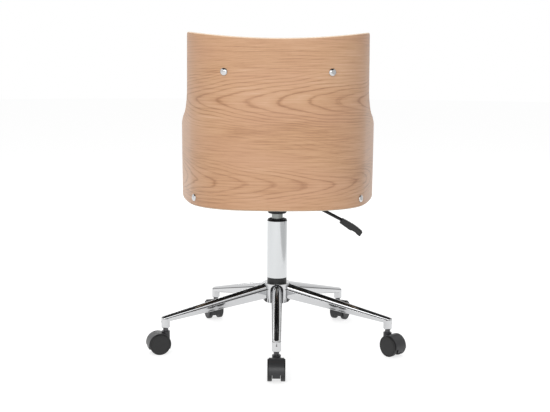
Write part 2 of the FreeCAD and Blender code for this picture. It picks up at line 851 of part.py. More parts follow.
def plate_corners():
    """List the four screw places of the seat plate as formula pairs."""
    across = "(plate_length / 2 - screw_inset)"
    along = "(plate_width / 2 - screw_inset)"
    return [(f"{sx}{across}", f"{sy}{along}") for sx in ("", "-") for sy in ("", "-")]


def seat_plate():
    """Make the pressed steel plate under the seat board."""
    body = doc.addObject("PartDesign::Body", "seat_plate_body")
    sketch = bound_sketch(body, "seat_plate_outline", "XY_Plane", [
        ("-plate_length / 2", "-plate_width / 2"),
        ("plate_length / 2", "-plate_width / 2"),
        ("plate_length / 2", "plate_width / 2"),
        ("-plate_length / 2", "plate_width / 2"),
    ])
    pad = body.newObject("PartDesign::Pad", "seat_plate_pad")
    pad.Profile = sketch
    pad.setExpression("Length", formula("plate_thickness"))
    half = value("plate_thickness / 2")
    soften(body, "Fillet", "seat_plate_corners", "plate_corner",
           lambda edge: abs(edge.CenterOfMass.z - half) < 1e-4)
    place(body, (None, None, "plate_foot"))
    holes = [
        cylinder(f"plate_hole_{number}", "screw_diameter / 2 + running_fit",
                 "plate_thickness", (across, along, "plate_foot"))
        for number, (across, along) in enumerate(plate_corners(), start=1)
    ]
    node("seat_plate", cut("seat_plate", body, joined("plate_holes", holes)))


def plate_fasteners():
    """Make the four screws under the plate and their nuts in the seat board."""
    screws, nuts = [], []
    for number, (across, along) in enumerate(plate_corners(), start=1):
        screw = turned(f"plate_screw_{number}", [
            ("0", "plate_foot - screw_head_height"),
            ("screw_head_diameter / 2", "plate_foot - screw_head_height"),
            ("screw_head_diameter / 2", "plate_foot"),
            ("screw_diameter / 2", "plate_foot"),
            ("screw_diameter / 2", "board_top"),
            ("0", "board_top"),
        ])
        screws.append(place(screw, (across, along, None)))
        nut = turned(f"plate_nut_{number}", [
            ("screw_diameter / 2", "board_foot + seat_gap"),
            ("nut_barrel_diameter / 2", "board_foot + seat_gap"),
            ("nut_barrel_diameter / 2", "board_top - nut_flange_height"),
            ("nut_flange_diameter / 2", "board_top - nut_flange_height"),
            ("nut_flange_diameter / 2", "board_top"),
            ("screw_diameter / 2", "board_top"),
        ])
        nuts.append(place(nut, (across, along, None)))
    node("plate_screws", group("plate_screws", screws))
    node("plate_nuts", group("plate_nuts", nuts))


# Plywood shell

def plan_frame():
    """Work out the centres and radii of the shell's plan arcs."""
    back, corner, side = value("back_radius"), value("corner_radius"), value("side_radius")
    first = math.radians(value("back_arc_angle"))
    second = math.radians(value("corner_arc_angle"))
    back_centre = Vector(0, value("shell_rear") - back, 0)
    corner_centre = back_centre + Vector(math.sin(first), math.cos(first), 0) * (back - corner)
    side_centre = corner_centre + Vector(math.sin(second), math.cos(second), 0) * (corner - side)
    return [(back_centre, back, first), (corner_centre, corner, second),
            (side_centre, side, math.pi / 2)]


PLAN = plan_frame()


def plan_point(angle, inset=0.0):
    """Find the plan point whose outward normal has an angle, an inset inside the sheet."""
    side = -1 if angle < 0 else 1
    for centre, radius, last in PLAN:
        if abs(angle) <= last + 1e-9:
            break
    reach = radius - inset
    return Vector(side * (centre.x + reach * math.sin(abs(angle))),
                  centre.y + reach * math.cos(angle), 0)


def plan_edges(inset, front, shift=0.0):
    """Draw the open U of the shell's plan, from its left front to its right front."""
    move = Vector(0, shift, 0)
    last = math.pi / 2
    joints = [-last, -PLAN[1][2], -PLAN[0][2], PLAN[0][2], PLAN[1][2], last]
    points = [plan_point(angle, inset) + move for angle in joints]
    edges = [Part.LineSegment(Vector(points[0].x, -front, 0), points[0]).toShape()]
    for index in range(len(joints) - 1):
        middle = plan_point((joints[index] + joints[index + 1]) / 2, inset) + move
        edges.append(Part.Arc(points[index], middle, points[index + 1]).toShape())
    edges.append(Part.LineSegment(points[-1], Vector(points[-1].x, -front, 0)).toShape())
    return edges


LEAN = math.tan(math.radians(value("back_lean")))


def lean_shift(height):
    """Find how far back the leaning shell has moved at a height."""
    return (height - value("shell_foot")) * LEAN


def leaning_sheet(outer_inset, inner_inset, foot, top):
    """Raise the U between two insets into a sheet that leans back."""
    front = value("wing_front") + value("ply_thickness")
    outer = plan_edges(outer_inset, front)
    inner = plan_edges(inner_inset, front)
    left = Part.LineSegment(inner[0].Vertexes[0].Point, outer[0].Vertexes[0].Point).toShape()
    right = Part.LineSegment(outer[-1].Vertexes[-1].Point, inner[-1].Vertexes[-1].Point).toShape()
    wire = Part.Wire(Part.__sortEdges__(outer + [right] + inner + [left]))
    face = Part.Face(wire)
    face.translate(Vector(0, lean_shift(foot), foot))
    return face.extrude(Vector(0, (top - foot) * LEAN, top - foot))


def side_outline(border):
    """Draw the shell's outline seen from the side, a border inside its edge."""
    foot = value("shell_foot") + border
    front = -value("wing_front") + border
    knee = Vector(0, value("knee_place"), value("shell_foot + knee_height"))
    wing = math.radians(value("wing_slope"))
    upright = math.radians(value("upright_slope"))
    wing_line = Vector(0, -math.cos(wing), -math.sin(wing))
    upright_line = Vector(0, math.sin(upright), math.cos(upright))
    wing_normal = Vector(0, math.sin(wing), -math.cos(wing))
    upright_normal = Vector(0, math.cos(upright), -math.sin(upright))
    share = border / (1 + wing_normal.dot(upright_normal))
    inner_knee = knee + (wing_normal + upright_normal) * share
    wing_tip = inner_knee + wing_line * ((inner_knee.y - front) / math.cos(wing))
    rise = value("back_height") * 1.2
    upright_top = inner_knee + upright_line * rise
    rear = value("shell_rear") * 2
    corners = [
        Vector(0, rear, foot),
        Vector(0, front, foot),
        wing_tip,
        inner_knee,
        upright_top,
        Vector(0, rear, upright_top.z),
    ]
    radii = [0, value("wing_foot_radius") - border, value("wing_top_radius") - border,
             value("knee_radius") + border, 0, 0]
    return rounded_wire(corners, radii)


def side_prism(border):
    """Extend the side outline across the chair."""
    half = value("shell_rear") * 2
    face = Part.Face(side_outline(border))
    face.translate(Vector(-half, 0, 0))
    return face.extrude(Vector(2 * half, 0, 0))


def top_tool(border):
    """Make the wide round bar that dips the top edge in the middle."""
    dip, chord = value("top_dip"), value("top_chord / 2")
    radius = (chord ** 2 + dip ** 2) / (2 * dip)
    length = value("shell_rear") * 4
    centre = Vector(0, -length / 2, value("shell_top") + radius)
    return Part.makeCylinder(radius + border, length, centre, Vector(0, 1, 0))


def bolt_axis(angle, height):
    """Find a bolt's spot on the outer face and the outward normal there."""
    spot = plan_point(angle)
    spot = Vector(spot.x, spot.y + lean_shift(height), height)
    normal = Vector(math.sin(angle), math.cos(angle), -math.cos(angle) * LEAN)
    return spot, normal.normalize()


def bolt_axes(row):
    """List the left and right bolt of the upper or lower row."""
    angle = math.radians(value(f"{row}_bolt_angle"))
    height = value("shell_foot + upper_bolt_height" if row == "upper"
                   else "board_foot + board_thickness / 2")
    return [bolt_axis(side * angle, height) for side in (-1, 1)]


def bolt_bore(spot, normal, depth, radius):
    """Make the tool for a bolt's bore, from outside the shell to a depth."""
    margin = value("ply_thickness")
    return Part.makeCylinder(radius, depth + margin, spot + normal * margin, normal * -1)


def is_top_corner(edge):
    """Tell whether an edge crosses the sheet's thickness at a top corner."""
    ends = [vertex.Point for vertex in edge.Vertexes]
    if len(ends) != 2 or min(end.z for end in ends) < value("shell_top + 1"):
        return False
    return (edge.Length < value("ply_thickness * 1.3")
            and abs(ends[0].y - ends[1].y) < value("ply_thickness / 4"))


def plywood_shell():
    """Make the bent sheet: a high back, swept knees and low wings."""
    ply = value("ply_thickness")
    top = value("shell_top + 3 * top_dip")
    sheet_solid = leaning_sheet(0.0, ply, value("shell_foot"), top)
    shell = sheet_solid.common(side_prism(0.0)).cut(top_tool(0.0))
    corners = [edge for edge in shell.Edges if is_top_corner(edge)]
    shell = shell.makeFillet(value("top_corner_radius"), corners)
    radius = value("bolt_diameter / 2 + bolt_play")
    for row in ("upper", "lower"):
        for spot, normal in bolt_axes(row):
            shell = shell.cut(bolt_bore(spot, normal, ply * 2, radius))
    shaped("plywood_shell", shell)


def board_outline(border=0.0):
    """Draw the seat board's outline, just inside the shell, less a border."""
    inset = value("ply_thickness + seat_gap") + border
    front = value("board_front") - border
    corner = value("board_corner") - border
    edges = plan_edges(inset, front - corner, lean_shift(value("board_foot")))
    half = plan_point(math.pi / 2, inset).x
    bend = corner * (1 - math.sqrt(0.5))
    left = Part.Arc(Vector(-half, -front + corner, 0),
                    Vector(-half + bend, -front + bend, 0),
                    Vector(-half + corner, -front, 0)).toShape()
    right = Part.Arc(Vector(half, -front + corner, 0),
                     Vector(half - bend, -front + bend, 0),
                     Vector(half - corner, -front, 0)).toShape()
    line = Part.LineSegment(Vector(-half + corner, -front, 0),
                            Vector(half - corner, -front, 0)).toShape()
    return Part.Wire(Part.__sortEdges__(edges + [left, line, right]))


def barrel_nut_spots():
    """Find where the barrel nuts stand in the seat board."""
    spots = []
    for spot, normal in bolt_axes("lower"):
        inner = spot - normal * (value("ply_thickness") + value("barrel_nut_inset"))
        spots.append(Vector(inner.x, inner.y, value("board_foot")))
    return spots


def seat_board():
    """Make the plywood board that carries the cushion and holds the shell."""
    board = Part.Face(board_outline()).extrude(Vector(0, 0, value("board_thickness")))
    board.translate(Vector(0, 0, value("board_foot")))
    flange = value("nut_flange_height")
    for across, along in plate_corners():
        spot = Vector(value(across), value(along), value("board_foot"))
        barrel = Part.makeCylinder(value("nut_barrel_diameter / 2"),
                                   value("board_thickness"), spot)
        recess = Part.makeCylinder(value("nut_flange_diameter / 2"), flange,
                                   spot + Vector(0, 0, value("board_thickness") - flange))
        board = board.cut(barrel.fuse(recess))
    depth = value("ply_thickness + barrel_nut_inset + barrel_nut_diameter")
    for (spot, normal), nut_spot in zip(bolt_axes("lower"), barrel_nut_spots()):
        bore = bolt_bore(spot, normal, depth, value("bolt_diameter / 2 + bolt_play"))
        hole = Part.makeCylinder(value("barrel_nut_diameter / 2"),
                                 value("board_thickness"), nut_spot)
        board = board.cut(bore.fuse(hole))
    shaped("seat_board", board)


def dust_cover():
    """Make the black cloth stapled under the seat board, open round the plate."""
    thickness, gap = value("cover_thickness"), value("cover_gap")
    long, wide = value("plate_length") + 2 * gap, value("plate_width") + 2 * gap
    foot = value("board_foot") - thickness
    cloth = Part.Face(board_outline(value("cover_border"))).extrude(Vector(0, 0, thickness))
    cloth.translate(Vector(0, 0, foot))
    window = Part.makeBox(long, wide, thickness, Vector(-long / 2, -wide / 2, foot))
    shaped("dust_cover", cloth.cut(window))


def cap_bolt(spot, normal, length):
    """Make a bolt with a domed cap on the outer face, turned about its own axis."""
    shank, radius = value("bolt_diameter / 2"), value("cap_diameter / 2")
    rim, crown = value("cap_rim"), value("cap_height")
    dome = (radius ** 2 + (crown - rim) ** 2) / (2 * (crown - rim))
    half_angle = math.asin(radius / dome) / 2
    shoulder = Vector(dome * math.sin(half_angle), 0,
                      crown - dome * (1 - math.cos(half_angle)))
    corners = [Vector(0, 0, crown), Vector(0, 0, -length), Vector(shank, 0, -length),
               Vector(shank, 0, 0), Vector(radius, 0, 0), Vector(radius, 0, rim)]
    outline = [Part.makeLine(*ends) for ends in zip(corners, corners[1:])]
    outline.append(Part.Arc(corners[-1], shoulder, corners[0]).toShape())
    bolt = Part.Face(Part.Wire(outline)).revolve(Vector(), Vector(0, 0, 1), 360)
    bolt.Placement = Placement(spot, Rotation(Vector(0, 0, 1), normal))
    return bolt


def shell_fasteners():
    """Make the four domed bolts, the liner's nuts and the board's barrel nuts."""
    play = value("bolt_play")
    liner_depth = value("ply_thickness + seat_gap + liner_thickness")
    board_depth = value("ply_thickness + barrel_nut_inset + barrel_nut_diameter / 2")
    upper = [cap_bolt(spot, normal, liner_depth) for spot, normal in bolt_axes("upper")]
    lower = [cap_bolt(spot, normal, board_depth) for spot, normal in bolt_axes("lower")]
    shaped("upper_shell_bolts", Part.makeCompound(upper))
    shaped("lower_shell_bolts", Part.makeCompound(lower))
    liner_nuts = []
    for spot, normal in bolt_axes("upper"):
        inner = spot - normal * liner_depth
        outer = Part.makeCylinder(value("nut_barrel_diameter / 2"),
                                  value("liner_thickness"), inner, normal)
        liner_nuts.append(outer.cut(bolt_bore(spot, normal, liner_depth + play,
                                              value("bolt_diameter / 2"))))
    shaped("liner_nuts", Part.makeCompound(liner_nuts))
    barrel_nuts = []
    for (spot, normal), nut_spot in zip(bolt_axes("lower"), barrel_nut_spots()):
        nut = Part.makeCylinder(value("barrel_nut_diameter / 2"),
                                value("board_thickness"), nut_spot)
        barrel_nuts.append(nut.cut(bolt_bore(spot, normal, board_depth + play,
                                             value("bolt_diameter / 2"))))
    shaped("barrel_nuts", Part.makeCompound(barrel_nuts))


# Upholstery

def back_liner():
    """Make the thin curved board that carries the back pad."""
    inset = value("ply_thickness + seat_gap")
    foot = value("board_top + seat_gap")
    top = value("shell_top - liner_top_inset")
    sheet_solid = leaning_sheet(inset, inset + value("liner_thickness"), foot, top)
    half, corner = value("liner_width / 2"), value("liner_corner")
    wire = rounded_wire([Vector(-half, 0, foot), Vector(half, 0, foot),
                         Vector(half, 0, top), Vector(-half, 0, top)],
                        [0, 0, corner, corner])
    window = Part.Face(wire).extrude(Vector(0, value("shell_rear") * 2, 0))
    liner = sheet_solid.common(window)
    for spot, normal in bolt_axes("upper"):
        liner = liner.cut(bolt_bore(spot, normal, value("ply_thickness") * 2,
                                    value("nut_barrel_diameter / 2")))
    shaped("back_liner", liner)


def pad_limit_angle():
    """Find the plan angle where the back pad ends, just past its liner."""
    inset = value("ply_thickness + seat_gap + liner_thickness + soft_gap")
    edge = value("liner_width / 2 + pad_overhang")
    for centre, radius, last in PLAN:
        share = (edge - centre.x) / (radius - inset)
        if share <= math.sin(last):
            return math.asin(share)
    raise ValueError("the liner is wider than the shell")


def back_pad_section(angle, depth):
    """Draw the back pad's upright section at a plan angle."""
    inset = value("ply_thickness + seat_gap + liner_thickness + soft_gap")
    outward = plan_point(angle, inset) - plan_point(angle, inset + 1)
    base = plan_point(angle, inset)
    dip = value("top_dip") * (base.x / value("top_chord / 2")) ** 2
    foot = value("board_top + soft_gap")
    top = value("shell_top") + dip - value("pad_border") / 2
    edge = min(value("back_pad_edge"), depth)

    def spot(inward, height):
        point = base - outward * inward
        return Vector(point.x, point.y + lean_shift(height), height)

    lip = edge / 2
    outer_foot, outer_top = spot(0, foot + lip), spot(0, top - lip)
    inner_top, inner_foot = spot(edge, top - edge), spot(edge, foot + edge)
    return Part.Wire([
        Part.LineSegment(outer_foot, outer_top).toShape(),
        Part.Arc(outer_top, spot(edge * 0.4, top - lip * 0.35), inner_top).toShape(),
        Part.Arc(inner_top, spot(depth, (foot + top) / 2), inner_foot).toShape(),
        Part.Arc(inner_foot, spot(edge * 0.4, foot + lip * 0.35), outer_foot).toShape(),
    ])


def back_cushion():
    """Make the back pad as a loft of upright sections, thinner at its sides."""
    limit = pad_limit_angle()
    edge, deep = value("back_pad_edge"), value("back_pad_depth")
    steps = 14
    sections = []
    for index in range(steps + 1):
        share = index / steps * 2 - 1
        depth = edge + 1 + (deep - edge) * math.sqrt(max(0.0, 1 - abs(share) ** 6))
        sections.append(back_pad_section(limit * share, depth))
    shaped("back_cushion", Part.makeLoft(sections, True, False))


def side_plan_point(along, inset):
    """Find the plan point of the shell's side at a place along the chair, and its normal."""
    centre, radius, _ = PLAN[2]
    if along <= centre.y:
        return Vector(centre.x + radius - inset, along, 0), Vector(1, 0, 0)
    angle = math.acos((along - centre.y) / radius)
    return plan_point(angle, inset), Vector(math.sin(angle), math.cos(angle), 0)


def side_pad_section(outline, along):
    """Draw the side pad's upright section at a place along the chair."""
    inset = value("ply_thickness + soft_gap")
    base, outward = side_plan_point(along, inset)
    foot, top = value("board_top + soft_gap"), value("shell_top")
    line = Part.makeLine(Vector(0, base.y + lean_shift(foot), foot),
                         Vector(0, base.y + lean_shift(top), top))
    span = outline.common(line).BoundBox
    low, high = span.ZMin, span.ZMax
    edge = value("side_pad_edge")
    lip = edge / 2

    def spot(inward, height):
        point = base - outward * inward
        return Vector(point.x, point.y + lean_shift(height), height)

    outer_foot, outer_top = spot(0, low + lip), spot(0, high - lip)
    inner_top, inner_foot = spot(edge, high - edge), spot(edge, low + edge)
    bulge = value("side_pad_depth")
    return Part.Wire([
        Part.LineSegment(outer_foot, outer_top).toShape(),
        Part.Arc(outer_top, spot(edge * 0.4, high - lip * 0.35), inner_top).toShape(),
        Part.Arc(inner_top, spot(bulge, (low + high) / 2), inner_foot).toShape(),
        Part.Arc(inner_foot, spot(edge * 0.4, low + lip * 0.35), outer_foot).toShape(),
    ])


def side_cushions():
    """Make the pads that line the wings, as lofts from the back pad to the front."""
    border = value("pad_border")
    outline = Part.Face(side_outline(border))
    limit = pad_limit_angle() + 2 * value("soft_gap") / PLAN[2][1]
    rear = plan_point(limit, value("ply_thickness + soft_gap")).y
    front = value("seat_gap + pad_border - wing_front") - lean_shift(value("board_top"))
    steps = 12
    sections = []
    for index in range(steps + 1):
        share = math.sin(index / steps * math.pi / 2)
        sections.append(side_pad_section(outline, rear + (front - rear) * share))
    pad = Part.makeLoft(sections, True, False)
    shaped("side_cushion_left", pad)
    shaped("side_cushion_right", pad.mirror(Vector(0, 0, 0), Vector(1, 0, 0)))


def seat_section(inset, height):
    """Draw the seat cushion's outline at a height, an inset inside its widest."""
    side = value("ply_thickness + soft_gap + side_pad_depth + soft_gap") + inset
    front = value("seat_front") - inset
    corner = value("seat_corner") - inset
    edges = plan_edges(side, front - corner, -value("seat_rear_inset"))
    half = plan_point(math.pi / 2, side).x
    bend = corner * (1 - math.sqrt(0.5))
    edges.append(Part.Arc(Vector(half, -front + corner, 0),
                          Vector(half - bend, -front + bend, 0),
                          Vector(half - corner, -front, 0)).toShape())
    edges.append(Part.LineSegment(Vector(half - corner, -front, 0),
                                  Vector(-half + corner, -front, 0)).toShape())
    edges.append(Part.Arc(Vector(-half + corner, -front, 0),
                          Vector(-half + bend, -front + bend, 0),
                          Vector(-half, -front + corner, 0)).toShape())
    wire = Part.Wire(edges)
    wire.translate(Vector(0, 0, height))
    return wire


def seat_cushion():
    """Make the seat cushion: drawn-in sides and a crowned top."""
    foot = value("board_top + seat_gap")
    tall = value("seat_height")
    levels = [(5.0, 0.0), (0.0, 0.14), (1.5, 0.45), (0.5, 0.66), (5.0, 0.82), (16.0, 0.92), (38.0, 1.0)]
    sections = [seat_section(inset, foot + share * tall) for inset, share in levels]
    shaped("seat_cushion", Part.makeLoft(sections, True, False))


def build():
    """Make every sub-part of the chair."""
    rings = []
    for number, spot in enumerate(caster_places(), start=1):
        caster_stem(number, spot)
        rings.append(grip_ring(number, spot))
        caster_hood(number, spot)
        caster_axle(number, spot)
        caster_wheel(number, "a", spot)
        caster_wheel(number, "b", spot)
    node("grip_rings", group("grip_rings", rings))
    star_base()
    column_parts()
    bearing_parts()
    rod_parts()
    tube_parts()
    taper_socket()
    lever_handle(lever_rod())
    seat_plate()
    plate_fasteners()
    seat_board()
    dust_cover()
    plywood_shell()
    shell_fasteners()
    back_liner()
    back_cushion()
    side_cushions()
    seat_cushion()


def check():
    """Stop if any object of the document or any sub-part failed."""
    for item in doc.Objects:
        if {"Invalid", "Error"} & set(item.State):
            raise RuntimeError(f"{item.Name} failed: {item.State}")
    for name, piece in nodes.items():
        if piece.Shape.isNull() or not piece.Shape.isValid() or not piece.Shape.Solids:
            raise RuntimeError(f"{name} has no valid solid")


build()
doc.recompute()
check()
os.makedirs("parts", exist_ok=True)
for name, piece in nodes.items():
    piece.Shape.exportStep(f"parts/{name}.step")
print(f"{len(nodes)} sub-parts written")
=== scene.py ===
"""Looks of a swivel office chair: a veneered plywood tub on a polished five-armed base.

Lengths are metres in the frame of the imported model. The floor is z = 0, the column
stands on the z axis, the chair faces -Y, and the photographed side is +Y.
"""
import logging
import math
from dataclasses import dataclass, field
from enum import Enum
from typing import Callable, Iterable, Sequence

import bmesh
import bpy
from mathutils import Matrix, Vector


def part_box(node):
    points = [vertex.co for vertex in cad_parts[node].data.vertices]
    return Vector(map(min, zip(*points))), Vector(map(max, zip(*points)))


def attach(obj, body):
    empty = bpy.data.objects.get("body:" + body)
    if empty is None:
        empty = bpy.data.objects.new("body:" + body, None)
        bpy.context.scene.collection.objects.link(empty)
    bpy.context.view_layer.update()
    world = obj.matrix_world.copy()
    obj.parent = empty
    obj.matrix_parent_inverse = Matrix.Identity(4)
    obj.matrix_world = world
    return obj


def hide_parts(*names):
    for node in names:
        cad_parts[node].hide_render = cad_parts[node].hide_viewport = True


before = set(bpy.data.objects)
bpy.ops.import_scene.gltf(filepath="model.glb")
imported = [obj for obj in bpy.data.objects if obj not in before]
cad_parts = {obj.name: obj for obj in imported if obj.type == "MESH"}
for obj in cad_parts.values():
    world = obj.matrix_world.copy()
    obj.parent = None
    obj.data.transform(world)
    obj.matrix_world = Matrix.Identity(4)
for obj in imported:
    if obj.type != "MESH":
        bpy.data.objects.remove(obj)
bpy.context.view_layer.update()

LOG = logging.getLogger("chair")
UP = Vector((0.0, 0.0, 1.0))
Colour = tuple[float, float, float, float]
WHITE: Colour = (1.0, 1.0, 1.0, 1.0)


# Small helpers

def rgb(red: int, green: int, blue: int) -> Colour:
    """Turn a screen colour of 0 to 255 into the linear colour that a shader takes.

    Args:
        red: Red, from 0 to 255.
        green: Green.
        blue: Blue.

    Returns:
        Red, green, blue and full cover.
    """
    def linear(channel: int) -> float:
        share = channel / 255
        return share / 12.92 if share <= 0.04045 else ((share + 0.055) / 1.055) ** 2.4
    return linear(red), linear(green), linear(blue), 1.0


def grey(level: float) -> Colour:
    """Return a grey of a linear level."""
    return level, level, level, 1.0


def smooth_step(low: float, high: float, amount: float) -> float:
    """Rise smoothly from 0 at low to 1 at high.

    Args:
        low: Where the rise starts.
        high: Where it ends.
        amount: The value to judge.

    Returns:
        A share from 0 to 1.
    """
    share = min(1.0, max(0.0, (amount - low) / (high - low)))
    return share * share * (3 - 2 * share)


def rounded_path(corners: Sequence[Vector], radii: Sequence[float], steps: int = 10) -> list[Vector]:
    """Round the inner corners of an open flat path with tangent arcs.

    Args:
        corners: Flat points from the path's start to its end.
        radii: A radius for each point; the first and last aren't used.
        steps: How many straight bits each arc has.

    Returns:
        The points of the rounded path.
    """
    path = [corners[0].copy()]
    for before, corner, after, radius in zip(corners, corners[1:], corners[2:], radii[1:]):
        back, ahead = (before - corner).normalized(), (after - corner).normalized()
        half = back.angle(ahead) / 2
        if radius <= 0 or half > math.pi / 2 - 1e-4:
            path.append(corner.copy())
            continue
        reach = radius / math.tan(half)
        centre = corner + (back + ahead).normalized() * (radius / math.sin(half))
        start = corner + back * reach - centre
        turn = math.pi - 2 * half
        side = 1.0 if back.cross(ahead) < 0 else -1.0
        for step in range(steps + 1):
            angle = side * turn * step / steps
            path.append(centre + Matrix.Rotation(angle, 2) @ start)
    path.append(corners[-1].copy())
    return path


def spaced_path(corners: Sequence[Vector], spacing: float) -> list[Vector]:
    """Divide the long stretches of a path so that no step is longer than the spacing.

    Args:
        corners: The path.
        spacing: The longest step.

    Returns:
        The path with points in between.
    """
    path = [corners[0].copy()]
    for start, end in zip(corners, corners[1:]):
        count = max(1, math.ceil((end - start).length / spacing))
        path.extend(start.lerp(end, step / count) for step in range(1, count + 1))
    return path


# Materials

class NodeSheet:
    """Draws the node tree of a material or of the world."""

    def __init__(self, tree: bpy.types.NodeTree) -> None:
        """Start an empty tree."""
        self.tree = tree
        self.tree.nodes.clear()

    def feed(self, socket: bpy.types.NodeSocket, given: object) -> None:
        """Link another node's output to an input, or set the input to a constant.

        Args:
            socket: The input.
            given: A constant or an output.
        """
        if isinstance(given, bpy.types.NodeSocket):
            self.tree.links.new(given, socket)
        else:
            socket.default_value = given

    def node(self, kind: str, inputs: dict | None = None, **settings: object) -> bpy.types.Node:
        """Add a node.

        Args:
            kind: The node's type without its common first word.
            inputs: Input name or number to a constant or to another node's output.
            settings: Properties of the node.

        Returns:
            The new node.
        """
        made = self.tree.nodes.new("ShaderNode" + kind)
        for key, setting in settings.items():
            setattr(made, key, setting)
        for key, given in (inputs or {}).items():
            self.feed(made.inputs[key], given)
        return made

    def maths(self, kind: str, *terms: object) -> bpy.types.NodeSocket:
        """Add a math node of a kind, such as MULTIPLY, and return its result."""
        made = self.node("Math", dict(enumerate(terms)), operation=kind)
        return made.outputs[0]

    def stretched(self, vector: bpy.types.NodeSocket, x: float, y: float, z: float,
                  ) -> bpy.types.NodeSocket:
        """Scale a vector along its axes."""
        made = self.node("VectorMath", {0: vector, 1: (x, y, z)}, operation="MULTIPLY")
        return made.outputs[0]

    def noise(self, vector: bpy.types.NodeSocket, scale: float = 1.0, detail: float = 2.0,
              roughness: float = 0.5) -> bpy.types.NodeSocket:
        """Add a noise texture and return its factor.

        Args:
            vector: Where to look it up.
            scale: How fine it is.
            detail: How many octaves it has.
            roughness: How strong the fine octaves are.

        Returns:
            The noise, around one half.
        """
        made = self.node("TexNoise", {"Vector": vector, "Scale": scale, "Detail": detail,
                                      "Roughness": roughness})
        return made.outputs[0]

    def ranged(self, amount: bpy.types.NodeSocket, low: float, high: float,
               to_low: float, to_high: float, smooth: bool = False) -> bpy.types.NodeSocket:
        """Map a range of values to another.

        Args:
            amount: The value.
            low: The lower end of its range.
            high: The upper end.
            to_low: What the lower end becomes.
            to_high: What the upper end becomes.
            smooth: Whether the ends ease in.

        Returns:
            The mapped value.
        """
        made = self.node("MapRange", {"Value": amount, "From Min": low, "From Max": high,
                                      "To Min": to_low, "To Max": to_high},
                         interpolation_type="SMOOTHSTEP" if smooth else "LINEAR")
        return made.outputs[0]

    def ramp(self, amount: bpy.types.NodeSocket, stops: Iterable[tuple[float, Colour]],
             ) -> bpy.types.NodeSocket:
        """Colour a value by stops of place and colour.

        Args:
            amount: The value.
            stops: Places and their colours, in order.

        Returns:
            The colour.
        """
        made = self.node("ValToRGB", {0: amount})
        elements = made.color_ramp.elements
        for index, (place, colour) in enumerate(stops):
            element = elements[index] if index < 2 else elements.new(place)
            element.position = place
            element.color = colour
        return made.outputs[0]

    def mixed(self, share: object, first: object, second: object) -> bpy.types.NodeSocket:
        """Mix two colours."""
        made = self.node("MixRGB", {0: share, 1: first, 2: second})
        return made.outputs[0]

    def swing(self, amount: bpy.types.NodeSocket, reach: float,
              base: object) -> bpy.types.NodeSocket:
        """Let a noise around one half move a base value to both sides."""
        return self.maths("MULTIPLY_ADD", self.maths("SUBTRACT", amount, 0.5), reach, base)

    def place(self) -> bpy.types.NodeSocket:
        """Return the coordinates of the piece itself."""
        return self.node("TexCoord").outputs["Object"]

    def recorded(self, name: str) -> bpy.types.NodeSocket:
        """Return a value that the mesh keeps for each point."""
        return self.node("Attribute", attribute_name=name).outputs["Fac"]

    def glow(self, level: object) -> bpy.types.NodeSocket:
        """Add a white glow of a level and return its shader."""
        return self.node("Emission", {"Color": WHITE, "Strength": level}).outputs[0]

    def seen_white(self) -> bpy.types.NodeSocket:
        """Tell camera, mirror and glass rays from the rays that light the object.

        Returns:
            One for camera, mirror and glass rays, and nought for the rest.
        """
        path = self.node("LightPath").outputs
        mirrored = self.maths("MAXIMUM", path["Is Camera Ray"], path["Is Glossy Ray"])
        return self.maths("MAXIMUM", mirrored, path["Is Transmission Ray"])


class FinishSheet(NodeSheet):
    """Draws the node tree of a finish around one principled shader."""

    def __init__(self, name: str) -> None:
        """Start a material with its shader.

        Args:
            name: The material's name.
        """
        self.material = bpy.data.materials.new(name)
        self.material.use_nodes = True
        super().__init__(self.material.node_tree)
        self.shader = self.node("BsdfPrincipled")
        self.node("OutputMaterial", {"Surface": self.shader.outputs["BSDF"]})

    def shade(self, **inputs: object) -> None:
        """Set or link inputs of the shader, named with underscores.

        Args:
            inputs: Constants or outputs by input name.
        """
        for key, given in inputs.items():
            self.feed(self.shader.inputs[key.replace("_", " ")], given)

    def bump(self, height: bpy.types.NodeSocket, strength: float, distance: float) -> None:
        """Give the shader a bumpy normal."""
        made = self.node("Bump", {"Height": height, "Strength": strength, "Distance": distance})
        self.shade(Normal=made.outputs[0])


@dataclass(frozen=True)
class Finish:
    """A finish that pieces share."""

    name: str

    def paint(self, sheet: FinishSheet) -> None:
        """Draw the finish on a node sheet."""
        raise NotImplementedError

    def material(self) -> bpy.types.Material:
        """Return the finish's material, made on first use.

        Returns:
            The material.
        """
        known = bpy.data.materials.get(self.name)
        if known is not None:
            return known
        sheet = FinishSheet(self.name)
        self.paint(sheet)
        return sheet.material


